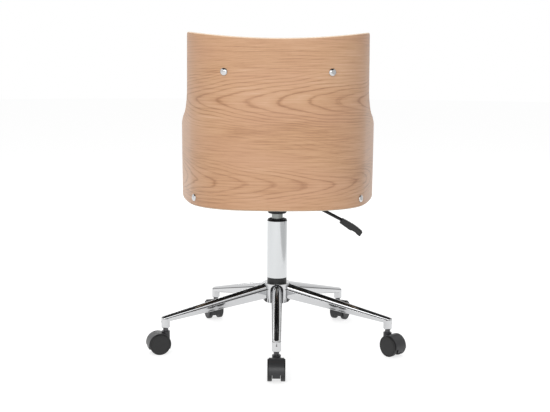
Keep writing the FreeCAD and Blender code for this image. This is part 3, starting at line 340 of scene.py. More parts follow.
@dataclass(frozen=True)
class OakVeneer(Finish):
    """Flat-cut oak veneer whose grain runs round the shell, with two opposed hearts.

    Heights are those of the hearts on the sheet. A heart's rings are plain up to the first
    distance of its reach and faint from the second.
    """

    upper_heart: float = 0.617
    lower_heart: float = 0.432
    upper_reach: tuple[float, float] = (0.048, 0.080)
    lower_reach: tuple[float, float] = (0.040, 0.062)
    faint: float = 0.22
    heart_width: float = 0.034
    taper: float = 0.083
    ring: float = 0.0056
    seam: float = 0.03
    sway: float = 0.045
    waver: float = 0.0028
    fibre_strength: float = 1.45
    patch_strength: float = 0.75
    pore_strength: float = 0.16

    def heart(self, sheet: FinishSheet, height: bpy.types.NodeSocket, middle: float,
              ) -> bpy.types.NodeSocket:
        """Measure the distance from a heart's line, rounded off in the middle.

        Args:
            sheet: The sheet to draw on.
            height: The wandering height.
            middle: The heart's height.

        Returns:
            The distance, never nought.
        """
        away = sheet.maths("SUBTRACT", height, middle)
        square = sheet.maths("MULTIPLY_ADD", away, away, self.heart_width ** 2)
        return sheet.maths("SQRT", square)

    def rings(self, sheet: FinishSheet, grain: bpy.types.NodeSocket) -> bpy.types.NodeSocket:
        """Draw the growth rings as a tone around nought, darkest at each year's line.

        Args:
            sheet: The sheet to draw on.
            grain: Run and height on the bent panel.

        Returns:
            The tone.
        """
        split = sheet.node("SeparateXYZ", {0: grain})
        run, height = split.outputs[0], split.outputs[1]
        sway = sheet.noise(sheet.stretched(grain, 3.1, 8.0, 1.0), 1.0, 2.0)
        waver = sheet.noise(sheet.stretched(grain, 16.0, 75.0, 1.0), 1.0, 3.0, 0.6)
        wandering = sheet.swing(sway, self.sway, height)
        upper = self.heart(sheet, wandering, self.upper_heart)
        lower = self.heart(sheet, wandering, self.lower_heart)
        near = sheet.maths("MAXIMUM", sheet.ranged(upper, *self.upper_reach, 1.0, self.faint, True),
                           sheet.ranged(lower, *self.lower_reach, 1.0, self.faint, True))
        lower = sheet.maths("SUBTRACT", self.upper_heart - self.lower_heart, lower)
        middle = (self.upper_heart + self.lower_heart) / 2
        share = sheet.ranged(height, middle - self.seam, middle + self.seam, 0.0, 1.0, True)
        depth = sheet.maths("MULTIPLY_ADD", share, sheet.maths("SUBTRACT", upper, lower), lower)
        depth = sheet.maths("MULTIPLY_ADD", run, self.taper, depth)
        years = sheet.maths("DIVIDE", sheet.swing(waver, self.waver, depth), self.ring)
        number = sheet.node("TexWhiteNoise", {"W": sheet.maths("FLOOR", years)},
                            noise_dimensions="1D").outputs[0]
        line = sheet.ramp(sheet.maths("FRACT", years), [
            (0.0, grey(0.35)), (0.07, grey(0.0)), (0.2, grey(0.72)), (0.5, grey(1.0)),
            (0.9, grey(0.85)), (1.0, grey(0.35))])
        contrast = sheet.maths("MULTIPLY", sheet.ranged(number, 0.0, 1.0, 0.22, 0.68), near)
        return sheet.maths("MULTIPLY", sheet.maths("SUBTRACT", line, 0.75), contrast)

    def paint(self, sheet: FinishSheet) -> None:
        """Draw rings, fibres and pores along the panel's own run and height.

        Args:
            sheet: The sheet to draw on.
        """
        grain = sheet.node("UVMap", uv_map="Grain").outputs[0]
        fibre = sheet.noise(sheet.stretched(grain, 9.0, 300.0, 1.0), 1.0, 5.0, 0.68)
        pores = sheet.noise(sheet.stretched(grain, 70.0, 2600.0, 1.0), 1.0, 2.0, 0.5)
        pores = sheet.ranged(pores, 0.56, 0.72, 0.0, 1.0)
        patch = sheet.noise(sheet.stretched(grain, 3.4, 10.0, 1.0), 1.0, 2.0)
        tone = sheet.swing(fibre, self.fibre_strength, self.rings(sheet, grain))
        tone = sheet.swing(patch, self.patch_strength, tone)
        tone = sheet.maths("MULTIPLY_ADD", pores, -self.pore_strength, tone)
        wood = sheet.ramp(sheet.maths("ADD", tone, 0.55), [
            (0.0, rgb(156, 108, 70)), (0.3, rgb(181, 134, 97)), (0.55, rgb(204, 158, 120)),
            (0.8, rgb(213, 170, 134)), (1.0, rgb(223, 185, 153))])
        blush = sheet.noise(sheet.stretched(grain, 5.0, 16.0, 1.0), 1.0, 1.0)
        wood = sheet.mixed(sheet.ranged(blush, 0.35, 0.7, 0.0, 0.35), wood, rgb(208, 160, 130))
        sheet.shade(Base_Color=wood, Roughness=sheet.ranged(fibre, 0.2, 0.8, 0.34, 0.48),
                    Specular_IOR_Level=0.5, Coat_Weight=0.12, Coat_Roughness=0.3)
        sheet.bump(sheet.maths("MULTIPLY_ADD", pores, -0.6, fibre), 0.22, 0.0003)


@dataclass(frozen=True)
class PlyEdge(Finish):
    """The sanded edge of the bent sheet, where its layers show as fine stripes."""

    plies: float = 9.0
    thickness: float = 0.012

    def paint(self, sheet: FinishSheet) -> None:
        """Draw the layers across the sheet's depth.

        Args:
            sheet: The sheet to draw on.
        """
        depth = sheet.recorded("ply_depth")
        grain = sheet.place()
        layer = sheet.maths("MULTIPLY", depth, self.plies / self.thickness)
        odd = sheet.maths("PINGPONG", layer, 1.0)
        glue = sheet.ranged(odd, 0.0, 0.14, 0.0, 1.0, True)
        face = sheet.ranged(odd, 0.35, 0.65, 0.0, 1.0, True)
        streak = sheet.noise(sheet.stretched(grain, 140.0, 140.0, 900.0), 1.0, 3.0, 0.6)
        wood = sheet.mixed(face, rgb(230, 206, 178), rgb(241, 225, 203))
        wood = sheet.mixed(glue, rgb(184, 146, 112), wood)
        wood = sheet.mixed(sheet.ranged(streak, 0.4, 0.75, 0.0, 0.35), wood, rgb(196, 160, 126))
        sheet.shade(Base_Color=wood, Roughness=0.5, Specular_IOR_Level=0.4)
        sheet.bump(streak, 0.15, 0.0002)


@dataclass(frozen=True)
class Plating(Finish):
    """Polished or satin metal."""

    colour: Colour = (0.80, 0.81, 0.82, 1.0)
    roughness: float = 0.05
    unevenness: float = 0.03
    brushed: float = 1.0

    def paint(self, sheet: FinishSheet) -> None:
        """Draw bare metal with faint polishing marks, rougher in its recesses, where painted shade
        darkens the colour to near black.

        Args:
            sheet: The sheet to draw on.
        """
        grain = sheet.place()
        haze = sheet.noise(sheet.stretched(grain, 30.0, 30.0, 30.0 * self.brushed), 1.0, 3.0)
        marks = sheet.noise(sheet.stretched(grain, 260.0, 260.0, 260.0 * self.brushed), 1.0, 2.0)
        # This value roughens the metal and mixes near black into its colour: painted shade in creases
        # and grooves.
        dull_shaded_recess = sheet.recorded("dull_shaded_recess")
        rough = sheet.ranged(haze, 0.3, 0.7, self.roughness, self.roughness + self.unevenness)
        rough = sheet.maths("MULTIPLY_ADD", dull_shaded_recess, 0.35, rough)
        tint = tuple(channel * 0.95 for channel in self.colour[:3]) + (1.0,)
        metal = sheet.mixed(marks, self.colour, tint)
        # The near black mixed in here is painted shade.
        sheet.shade(Base_Color=sheet.mixed(dull_shaded_recess, metal, (0.035, 0.035, 0.037, 1.0)),
                    Metallic=1.0, Roughness=rough)
        sheet.bump(haze, 0.02, 0.0005)


@dataclass(frozen=True)
class Moulding(Finish):
    """Moulded plastic, rubber or powder paint with a fine spark-eroded grain."""

    colour: Colour = rgb(40, 40, 41)
    roughness: float = 0.42
    grain_size: float = 0.0007
    relief: float = 0.25

    def paint(self, sheet: FinishSheet) -> None:
        """Draw a dark skin with a fine even grain.

        Args:
            sheet: The sheet to draw on.
        """
        spot = sheet.place()
        fine = sheet.noise(spot, 1.0 / self.grain_size, 2.0, 0.6)
        broad = sheet.noise(spot, 28.0, 3.0)
        light = tuple(min(1.0, channel * 1.28 + 0.002) for channel in self.colour[:3]) + (1.0,)
        colour = sheet.mixed(sheet.ranged(broad, 0.3, 0.75, 0.0, 1.0), self.colour, light)
        rough = sheet.ranged(broad, 0.3, 0.7, self.roughness - 0.05, self.roughness + 0.06)
        sheet.shade(Base_Color=colour, Roughness=rough, Specular_IOR_Level=0.5)
        sheet.bump(fine, self.relief, 0.00008)


@dataclass(frozen=True)
class Leatherette(Finish):
    """White leatherette with a pebble grain and soft creases."""

    colour: Colour = rgb(233, 230, 224)
    # This darker colour serves a slow random change of tone and painted shade in the pebble valleys.
    tone_and_valley_shade: Colour = rgb(214, 209, 201)

    def paint(self, sheet: FinishSheet) -> None:
        """Draw pebbles, a slow change of tone and painted shade that darkens their valleys.

        Args:
            sheet: The sheet to draw on.
        """
        spot = sheet.place()
        bent = sheet.noise(spot, 160.0, 2.0)
        moved = sheet.node("VectorMath", {0: spot, 1: sheet.stretched(bent, 0.0012, 0.0012, 0.0012)},
                           operation="ADD").outputs[0]
        pebble = sheet.node("TexVoronoi", {"Vector": moved, "Scale": 620.0},
                            feature="SMOOTH_F1").outputs[0]
        valley = sheet.ranged(pebble, 0.25, 0.75, 0.0, 1.0, True)
        slow = sheet.noise(spot, 9.0, 3.0)
        tone = sheet.mixed(sheet.ranged(slow, 0.3, 0.75, 0.0, 0.45), self.colour, self.tone_and_valley_shade)
        # Darkening the pebble valleys is painted shade.
        tone = sheet.mixed(sheet.maths("MULTIPLY", valley, 0.22), tone, self.tone_and_valley_shade)
        sheet.shade(Base_Color=tone, Roughness=sheet.ranged(valley, 0.0, 1.0, 0.40, 0.56),
                    Specular_IOR_Level=0.45, Sheen_Weight=0.06, Sheen_Roughness=0.4)
        wrinkle = sheet.noise(sheet.stretched(spot, 26.0, 26.0, 40.0), 1.0, 3.0, 0.55)
        relief = sheet.maths("MULTIPLY_ADD", valley, -0.12, wrinkle)
        sheet.bump(relief, 0.30, 0.0012)


@dataclass(frozen=True)
class PlainPly(Finish):
    """Unfinished birch plywood, as on hidden boards."""

    colour: Colour = rgb(205, 176, 140)
    dark: Colour = rgb(176, 142, 104)

    def paint(self, sheet: FinishSheet) -> None:
        """Draw straight fibres across the board.

        Args:
            sheet: The sheet to draw on.
        """
        spot = sheet.place()
        fibre = sheet.noise(sheet.stretched(spot, 12.0, 340.0, 340.0), 1.0, 4.0, 0.6)
        broad = sheet.noise(sheet.stretched(spot, 4.0, 22.0, 22.0), 1.0, 2.0)
        tone = sheet.maths("MULTIPLY_ADD", fibre, 0.6, sheet.maths("MULTIPLY", broad, 0.4))
        sheet.shade(Base_Color=sheet.ramp(tone, [(0.3, self.dark), (0.65, self.colour)]),
                    Roughness=0.62)
        sheet.bump(fibre, 0.2, 0.0003)


@dataclass(frozen=True)
class NonWoven(Finish):
    """Black non-woven cloth with its square press marks."""

    colour: Colour = rgb(24, 24, 25)
    pitch: float = 0.0016

    def paint(self, sheet: FinishSheet) -> None:
        """Draw the pressed points and loose fibres.

        Args:
            sheet: The sheet to draw on.
        """
        spot = sheet.place()
        cells = sheet.node("TexVoronoi", {"Vector": spot, "Scale": 1.0 / self.pitch,
                                          "Randomness": 0.15}).outputs[0]
        fibre = sheet.noise(spot, 900.0, 3.0, 0.7)
        light = tuple(channel * 1.7 for channel in self.colour[:3]) + (1.0,)
        sheet.shade(Base_Color=sheet.mixed(sheet.ranged(fibre, 0.35, 0.7, 0.0, 1.0), self.colour, light),
                    Roughness=0.85, Specular_IOR_Level=0.2)
        sheet.bump(sheet.maths("MULTIPLY_ADD", cells, 0.8, fibre), 0.4, 0.0003)


VENEER = OakVeneer("oak_veneer_lacquered")
PLY_EDGE = PlyEdge("oak_plywood_edge")
CHROME = Plating("mirror_chrome", (0.60, 0.605, 0.615, 1.0), 0.04, 0.03)
COLUMN_CHROME = Plating("column_chrome", (0.63, 0.645, 0.655, 1.0), 0.09, 0.03)
BOLT_CHROME = Plating("bolt_chrome", (0.60, 0.60, 0.60, 1.0), 0.08, 0.03)
TUBE_STEEL = Plating("gas_tube_steel", (0.27, 0.285, 0.275, 1.0), 0.24, 0.06, 0.1)
BARE_STEEL = Plating("bare_steel", (0.58, 0.58, 0.59, 1.0), 0.22, 0.08)
PISTON_ALLOY = Plating("piston_alloy", (0.62, 0.62, 0.64, 1.0), 0.3, 0.08)
BLACK_PLASTIC = Moulding("black_moulding", rgb(24, 24, 25), 0.42)
HOOD_PLASTIC = Moulding("caster_hood_nylon", rgb(38, 38, 40), 0.36)
WHEEL_NYLON = Moulding("caster_wheel_nylon", rgb(15, 15, 16), 0.48)
COLLAR_PLASTIC = Moulding("collar_plastic", rgb(14, 15, 17), 0.5)
STEM_STEEL = Plating("blackened_steel", (0.10, 0.10, 0.105, 1.0), 0.34, 0.06)
POWDER_BLACK = Moulding("black_powder_paint", rgb(11, 11, 12), 0.55, 0.0011, 0.4)
BUFFER_RUBBER = Moulding("buffer_rubber", rgb(24, 24, 24), 0.7, 0.001, 0.3)
LEATHERETTE = Leatherette("white_leatherette")
# The piping's second colour also serves its tone change and painted valley shade.
PIPING = Leatherette("white_piping", rgb(228, 224, 217), rgb(205, 199, 190))
PLAIN_PLY = PlainPly("birch_plywood")
DUST_CLOTH = NonWoven("black_dust_cloth")


# Mesh making

def turned(profile: Sequence[tuple[float, float]], steps: int = 72) -> bmesh.types.BMesh:
    """Spin a profile of radius and height round the z axis.

    Args:
        profile: Corners from one end of the outline to the other.
        steps: How many flat strips go round.

    Returns:
        The turned mesh with its normals outwards.
    """
    mesh = bmesh.new()
    corners = [mesh.verts.new((radius, 0.0, height)) for radius, height in profile]
    edges = [mesh.edges.new(pair) for pair in zip(corners, corners[1:])]
    bmesh.ops.spin(mesh, geom=corners + edges, cent=(0, 0, 0), axis=(0, 0, 1),
                   angle=math.tau, steps=steps, use_merge=True)
    bmesh.ops.remove_doubles(mesh, verts=mesh.verts, dist=1e-6)
    bmesh.ops.recalc_face_normals(mesh, faces=mesh.faces)
    return mesh


def closed_turned(profile: Sequence[tuple[float, float]], steps: int = 72) -> bmesh.types.BMesh:
    """Spin a closed profile round the z axis, as for a ring."""
    return turned(list(profile) + [profile[0]], steps)


def outward(mesh: bmesh.types.BMesh) -> None:
    """Turn a closed mesh's normals outwards."""
    if mesh.calc_volume(signed=True) < 0.0:
        bmesh.ops.reverse_faces(mesh, faces=mesh.faces)


def raised(mesh: bmesh.types.BMesh, faces: Sequence[bmesh.types.BMFace],
           ) -> list[bmesh.types.BMVert]:
    """Extrude joined faces in place and return the corners that are to be moved.

    Args:
        mesh: The mesh, which is changed.
        faces: The joined faces.

    Returns:
        The new corners.
    """
    grown = bmesh.ops.extrude_face_region(mesh, geom=faces)
    return [item for item in grown["geom"] if isinstance(item, bmesh.types.BMVert)]


def slab(outline: Iterable[Sequence[float]], axis: int, rise: float, rim: float,
         segments: int) -> bmesh.types.BMesh:
    """Extrude a flat outline and round the rims of its two faces.

    Args:
        outline: Corners that share one value along the axis.
        axis: The axis to extrude along, from 0 to 2.
        rise: How far to extrude, with its sign.
        rim: The rounding of the rims.
        segments: How many strips the rounding has.

    Returns:
        The closed mesh.
    """
    mesh = bmesh.new()
    face = mesh.faces.new([mesh.verts.new(corner) for corner in outline])
    mesh.normal_update()
    move = Vector((0.0, 0.0, 0.0))
    move[axis] = rise
    bmesh.ops.translate(mesh, verts=raised(mesh, [face]), vec=move)
    bmesh.ops.recalc_face_normals(mesh, faces=mesh.faces)
    rims = [edge for edge in mesh.edges
            if abs(edge.verts[0].co[axis] - edge.verts[1].co[axis]) < 1e-6]
    bmesh.ops.bevel(mesh, geom=rims, offset=rim, offset_type="OFFSET", affect="EDGES",
                    segments=segments, profile=0.5, material=-1, clamp_overlap=True)
    return mesh


def make_piece(mesh: bmesh.types.BMesh, name: str, body: str,
               finishes: Sequence[Finish], replaces: Sequence[str] = (),
               sharp: float = 40.0) -> bpy.types.Object:
    """Turn a mesh into a piece of the chair.

    Args:
        mesh: The finished mesh, in place. It is freed.
        name: The piece's name.
        body: The body that it rides on.
        finishes: Its materials, by material number.
        replaces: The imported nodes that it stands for.
        sharp: The angle in degrees above which an edge stays crisp.

    Returns:
        The new object.
    """
    data = bpy.data.meshes.new(name)
    mesh.to_mesh(data)
    mesh.free()
    return dress(data, name, body, finishes, replaces, sharp)


def dress(data: bpy.types.Mesh, name: str, body: str,
          finishes: Sequence[Finish], replaces: Sequence[str] = (),
          sharp: float = 40.0) -> bpy.types.Object:
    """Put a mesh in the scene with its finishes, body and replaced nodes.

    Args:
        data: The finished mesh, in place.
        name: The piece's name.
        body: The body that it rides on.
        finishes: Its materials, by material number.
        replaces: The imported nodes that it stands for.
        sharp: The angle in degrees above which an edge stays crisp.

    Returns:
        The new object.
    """
    for finish in finishes:
        data.materials.append(finish.material())
    data.polygons.foreach_set("use_smooth", [True] * len(data.polygons))
    data.set_sharp_from_angle(angle=math.radians(sharp))
    piece = bpy.data.objects.new(name, data)
    bpy.context.scene.collection.objects.link(piece)
    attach(piece, body)
    if replaces:
        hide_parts(*replaces)
    LOG.info("%s: %d faces on %s", name, len(data.polygons), body)
    return piece


def weigh_normals(piece: bpy.types.Object) -> bpy.types.Object:
    """Let large faces rule the shading, so that narrow rounded edges stay narrow.

    Args:
        piece: The piece.

    Returns:
        The same piece.
    """
    modifier = piece.modifiers.new("weighted normals", "WEIGHTED_NORMAL")
    modifier.keep_sharp = True
    modifier.weight = 60
    return piece


def keep_node(node: str, finish: Finish) -> None:
    """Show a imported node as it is, in a better finish.

    Args:
        node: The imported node.
        finish: Its finish.
    """
    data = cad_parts[node].data
    data.materials.clear()
    data.materials.append(finish.material())
    LOG.info("%s: kept in %s", node, finish.name)


def tube_round(path: Sequence[Vector], radius: float, name: str) -> bpy.types.Mesh:
    """Sweep a round section along a closed path and return it as a mesh.

    Args:
        path: The path's points.
        radius: The tube's radius.
        name: The mesh's name.

    Returns:
        The tube.
    """
    curve = bpy.data.curves.new(name, "CURVE")
    curve.dimensions = "3D"
    curve.bevel_depth = radius
    curve.bevel_resolution = 4
    curve.use_fill_caps = False
    spline = curve.splines.new("POLY")
    spline.points.add(len(path) - 1)
    for point, spot in zip(spline.points, path):
        point.co = (*spot, 1.0)
    spline.use_cyclic_u = True
    holder = bpy.data.objects.new(name, curve)
    data = bpy.data.meshes.new_from_object(holder)
    bpy.data.objects.remove(holder)
    bpy.data.curves.remove(curve)
    return data


# Shell

@dataclass
class PlyShell:
    """The bent oak sheet that wraps the back and both sides.

    Its plan is three tangent arcs on each side and then straight. Angles are in degrees. The
    knee is where the wing's slope meets the upright front edge, in depth and height.
    """

    rear: float = 0.240
    ply: float = 0.012
    foot: float = 0.3715
    top: float = 0.7538
    lean_angle: float = 2.74
    top_half: float = 0.208
    top_dip: float = 0.0153
    back_radius: float = 0.540
    corner_radius: float = 0.150
    side_radius: float = 0.800
    corner_start: float = 9.0
    corner_end: float = 73.0
    front: float = -0.190
    knee: tuple[float, float] = (0.115, 0.5965)
    wing_slope: float = 18.4
    upright_slope: float = 6.0
    side_rounding: tuple[float, float, float] = (0.048, 0.042, 0.070)
    top_rounding: float = 0.0075
    rim: float = 0.0036
    flatten: tuple[float, float] = (62.0, 80.0)
    curved: tuple[float, float] = (0.045, 0.29)
    fine_strip: float = 0.0055
    strip: float = 0.012
    lean: float = field(init=False)
    top_radius: float = field(init=False)
    arcs: list[tuple[float, float, float, float, float]] = field(init=False)

    def __post_init__(self) -> None:
        """Work out the lean, the dip of the top edge and the plan's arcs."""
        self.lean = math.tan(math.radians(self.lean_angle))
        self.top_radius = (self.top_half ** 2 + self.top_dip ** 2) / (2 * self.top_dip)
        back, corner, side = self.back_radius, self.corner_radius, self.side_radius
        first, second = math.radians(self.corner_start), math.radians(self.corner_end)
        back_y = self.rear - back
        corner_x = math.sin(first) * (back - corner)
        corner_y = back_y + math.cos(first) * (back - corner)
        side_x = corner_x + math.sin(second) * (corner - side)
        side_y = corner_y + math.cos(second) * (corner - side)
        self.arcs = [(0.0, back_y, back, 0.0, first), (corner_x, corner_y, corner, first, second),
                     (side_x, side_y, side, second, math.pi / 2)]

    def plan(self, run: float) -> tuple[Vector, float]:
        """Find the outer face's plan point and normal angle at a run from the middle.

        Args:
            run: The run, positive to the right.

        Returns:
            The point at z = 0, and the normal's angle from +Y in radians.
        """
        left, side = abs(run), math.copysign(1.0, run)
        for x, y, radius, start, last in self.arcs:
            length = radius * (last - start)
            if left <= length:
                angle = start + left / radius
                return Vector((side * (x + radius * math.sin(angle)),
                               y + radius * math.cos(angle), 0.0)), side * angle
            left -= length
        x, y, radius, _, last = self.arcs[-1]
        return Vector((side * (x + radius), y - left, 0.0)), side * last

    def run_at(self, depth: float) -> float:
        """Find the run on the right half where the plan is at a depth in y.

        Args:
            depth: The y on the upright plan.

        Returns:
            The run.
        """
        low, high = 0.0, 0.8
        for _ in range(48):
            middle = (low + high) / 2
            if self.plan(middle)[0].y > depth:
                low = middle
            else:
                high = middle
        return (low + high) / 2

    def surface(self, run: float, height: float) -> tuple[Vector, Vector]:
        """Find the outer face's point and outward normal.

        Args:
            run: The run from the middle.
            height: The height.

        Returns:
            The point and the unit normal.
        """
        spot, angle = self.plan(run)
        spot = Vector((spot.x, spot.y + (height - self.foot) * self.lean, height))
        normal = Vector((math.sin(angle), math.cos(angle), -math.cos(angle) * self.lean))
        return spot, normal.normalized()

    def inside(self, spot: Vector) -> tuple[float, float]:
        """Find a point's run along the sheet and its depth behind the outer face.

        Args:
            spot: A point in the chair.

        Returns:
            The run and the depth.
        """
        across = abs(spot.x)
        depth_y = spot.y - (spot.z - self.foot) * self.lean
        run = 0.0
        for x, y, radius, start, last in self.arcs:
            angle = math.atan2(across - x, depth_y - y)
            if angle <= last or last >= math.pi / 2:
                turn = min(max(angle, start), last)
                run += radius * (turn - start)
                if angle > last:
                    return run + (y - depth_y), x + radius - across
                return run, radius - math.hypot(across - x, depth_y - y)
            run += radius * (last - start)
        return run, 0.0

    def edge_height(self, across: float) -> float:
        """Find the height of the dipped top edge at a distance across the chair."""
        return self.top + self.top_radius - math.sqrt(self.top_radius ** 2 - across ** 2)

    def side_path(self) -> list[Vector]:
        """Draw one side's edge as flat points of run and height, from foot to top.

        Returns:
            The right side's edge.
        """
        wing, upright = math.radians(self.wing_slope), math.radians(self.upright_slope)
        knee = Vector(self.knee)
        front, foot = self.front, self.foot
        tip = knee - Vector((math.cos(wing), math.sin(wing))) * ((knee.x - front) / math.cos(wing))
        rise = knee + Vector((math.sin(upright), math.cos(upright))) * 0.30
        corners = [Vector((0.20, foot)), Vector((front, foot)), tip, knee, rise]
        path = rounded_path(corners, [0.0, *self.side_rounding, 0.0], 14)
        flat = []
        for depth, height in path:
            run = self.run_at(depth - (height - foot) * self.lean)
            flat.append(Vector((run, height)))
        return flat

    def outline(self) -> list[Vector]:
        """Draw the whole sheet's outline as flat points of run and height.

        Returns:
            The closed outline, from one foot round the top to the other.
        """
        side = spaced_path(self.side_path(), 0.010)[1:]
        cut = [point for point in side
               if point.y < self.edge_height(self.plan(point.x)[0].x) - 0.010]
        end = cut[-1]
        corner_run = side[len(cut)].x
        corner = Vector((corner_run, self.edge_height(self.plan(corner_run)[0].x)))
        slope = Vector((corner_run - 0.012, 0.0))
        slope.y = self.edge_height(self.plan(slope.x)[0].x)
        turned_corner = rounded_path([end, corner, slope], [0.0, self.top_rounding, 0.0], 6)[1:-1]
        top = []
        count = 60
        for step in range(1, count):
            run = slope.x - 2 * slope.x * step / count
            top.append(Vector((run, self.edge_height(self.plan(run)[0].x))))
        mirror = [Vector((-point.x, point.y)) for point in reversed(cut + turned_corner + [slope])]
        return cut + turned_corner + [slope] + top + mirror

    def through(self, run: float, height: float) -> Vector:
        """Find the direction through the sheet: square to it, but flat across at the sides.

        Args:
            run: The run from the middle.
            height: The height.

        Returns:
            The direction, as long as one unit of depth.
        """
        _, normal = self.surface(run, height)
        angle = abs(self.plan(run)[1])
        share = smooth_step(*(math.radians(limit) for limit in self.flatten), angle)
        across = Vector((math.copysign(1.0, run), 0.0, 0.0))
        blended = normal.lerp(across, share)
        return blended / blended.dot(normal)

    def bend(self, mesh: bmesh.types.BMesh) -> None:
        """Bend the flat sheet, whose depth runs down from z = 0, onto the plan.

        Args:
            mesh: The flat sheet, which is changed.
        """
        grain = mesh.loops.layers.uv.new("Grain")
        depth_layer = mesh.verts.layers.float.new("ply_depth")
        for face in mesh.faces:
            for loop in face.loops:
                loop[grain].uv = loop.vert.co.xy
        for vert in mesh.verts:
            run, height, depth = vert.co
            spot, _ = self.surface(run, height)
            direction = self.through(run, height)
            vert[depth_layer] = -depth
            place = spot + direction * depth
            rise = self.edge_height(spot.x) - self.edge_height(place.x)
            near = smooth_step(self.foot + 0.25, self.top, height)
            place.z = height - rise * near
            vert.co = place

    def build(self) -> bpy.types.Object:
        """Make the sheet with rounded rims, and bend it.

        Returns:
            The shell.
        """
        mesh = slab(((point.x, point.y, 0.0) for point in self.outline()), 2, -self.ply,
                    self.rim, 4)
        for item in mesh.faces:
            if abs(item.normal.z) < 0.98:
                item.material_index = 1
        self.divide(mesh)
        self.bend(mesh)
        outward(mesh)
        piece = make_piece(mesh, "oak_shell", "seat", (VENEER, PLY_EDGE),
                           ("plywood_shell",), 50.0)
        return weigh_normals(piece)

    def divide(self, mesh: bmesh.types.BMesh) -> None:
        """Cut the flat sheet into narrow strips, so that it bends smoothly.

        Args:
            mesh: The flat sheet, which is changed.
        """
        reach = max(vert.co.x for vert in mesh.verts)
        runs = []
        run = -reach + 0.004
        while run < reach:
            runs.append(run)
            run += self.fine_strip if self.curved[0] < abs(run) < self.curved[1] else self.strip
        heights = [self.foot + self.strip * step for step in range(1, 33)]
        cuts = [((run, 0.0, 0.0), (1.0, 0.0, 0.0)) for run in runs]
        cuts += [((0.0, height, 0.0), (0.0, 1.0, 0.0)) for height in heights]
        for spot, normal in cuts:
            bmesh.ops.bisect_plane(mesh, geom=mesh.verts[:] + mesh.edges[:] + mesh.faces[:],
                                   dist=1e-6, plane_co=spot, plane_no=normal)


@dataclass
class ShellBolts:
    """Domed bolts that hold the shell: two large ones high up, two at the lower corners."""

    shell: PlyShell
    upper_angle: float = 22.6
    upper_height: float = 0.6805
    lower_angle: float = 60.5
    lower_height: float = 0.391
    cap_radius: float = 0.0086
    cap_height: float = 0.0048

    def cap(self) -> bmesh.types.BMesh:
        """Turn one domed cap with a small lip at its foot.

        Returns:
            The cap, standing on z = 0.
        """
        radius, height = self.cap_radius, self.cap_height
        profile = [(0.0, -0.004), (0.0036, -0.004), (0.0036, 0.0), (radius, 0.0),
                   (radius, 0.0007)]
        for step in range(1, 13):
            angle = math.pi / 2 * step / 12
            profile.append((radius * 0.99 * math.cos(angle),
                            0.0009 + (height - 0.0009) * math.sin(angle)))
        profile[-1] = (0.0, height)
        return turned(profile, 48)

    def spot(self, angle: float, height: float) -> Matrix:
        """Place a cap on the outer face at a plan angle and a height.

        Args:
            angle: The plan angle in degrees, with its side.
            height: The height.

        Returns:
            The cap's place and turn.
        """
        side = math.copysign(1.0, angle)
        turn = abs(math.radians(angle))
        run = sum(radius * (min(last, turn) - start)
                  for _, _, radius, start, last in self.shell.arcs if turn > start)
        spot, normal = self.shell.surface(side * run, height)
        return Matrix.Translation(spot) @ UP.rotation_difference(normal).to_matrix().to_4x4()

    def build(self) -> None:
        """Place the upper and the lower pair."""
        for name, node, angle, height in (
                ("upper_bolt_caps", "upper_shell_bolts", self.upper_angle, self.upper_height),
                ("lower_bolt_caps", "lower_shell_bolts", self.lower_angle, self.lower_height)):
            both = bmesh.new()
            for side in (-1, 1):
                cap = self.cap()
                cap.transform(self.spot(side * angle, height))
                data = bpy.data.meshes.new(name)
                cap.to_mesh(data)
                cap.free()
                both.from_mesh(data)
                bpy.data.meshes.remove(data)
            make_piece(both, name, "seat", (BOLT_CHROME,), (node,), 50.0)


# Base

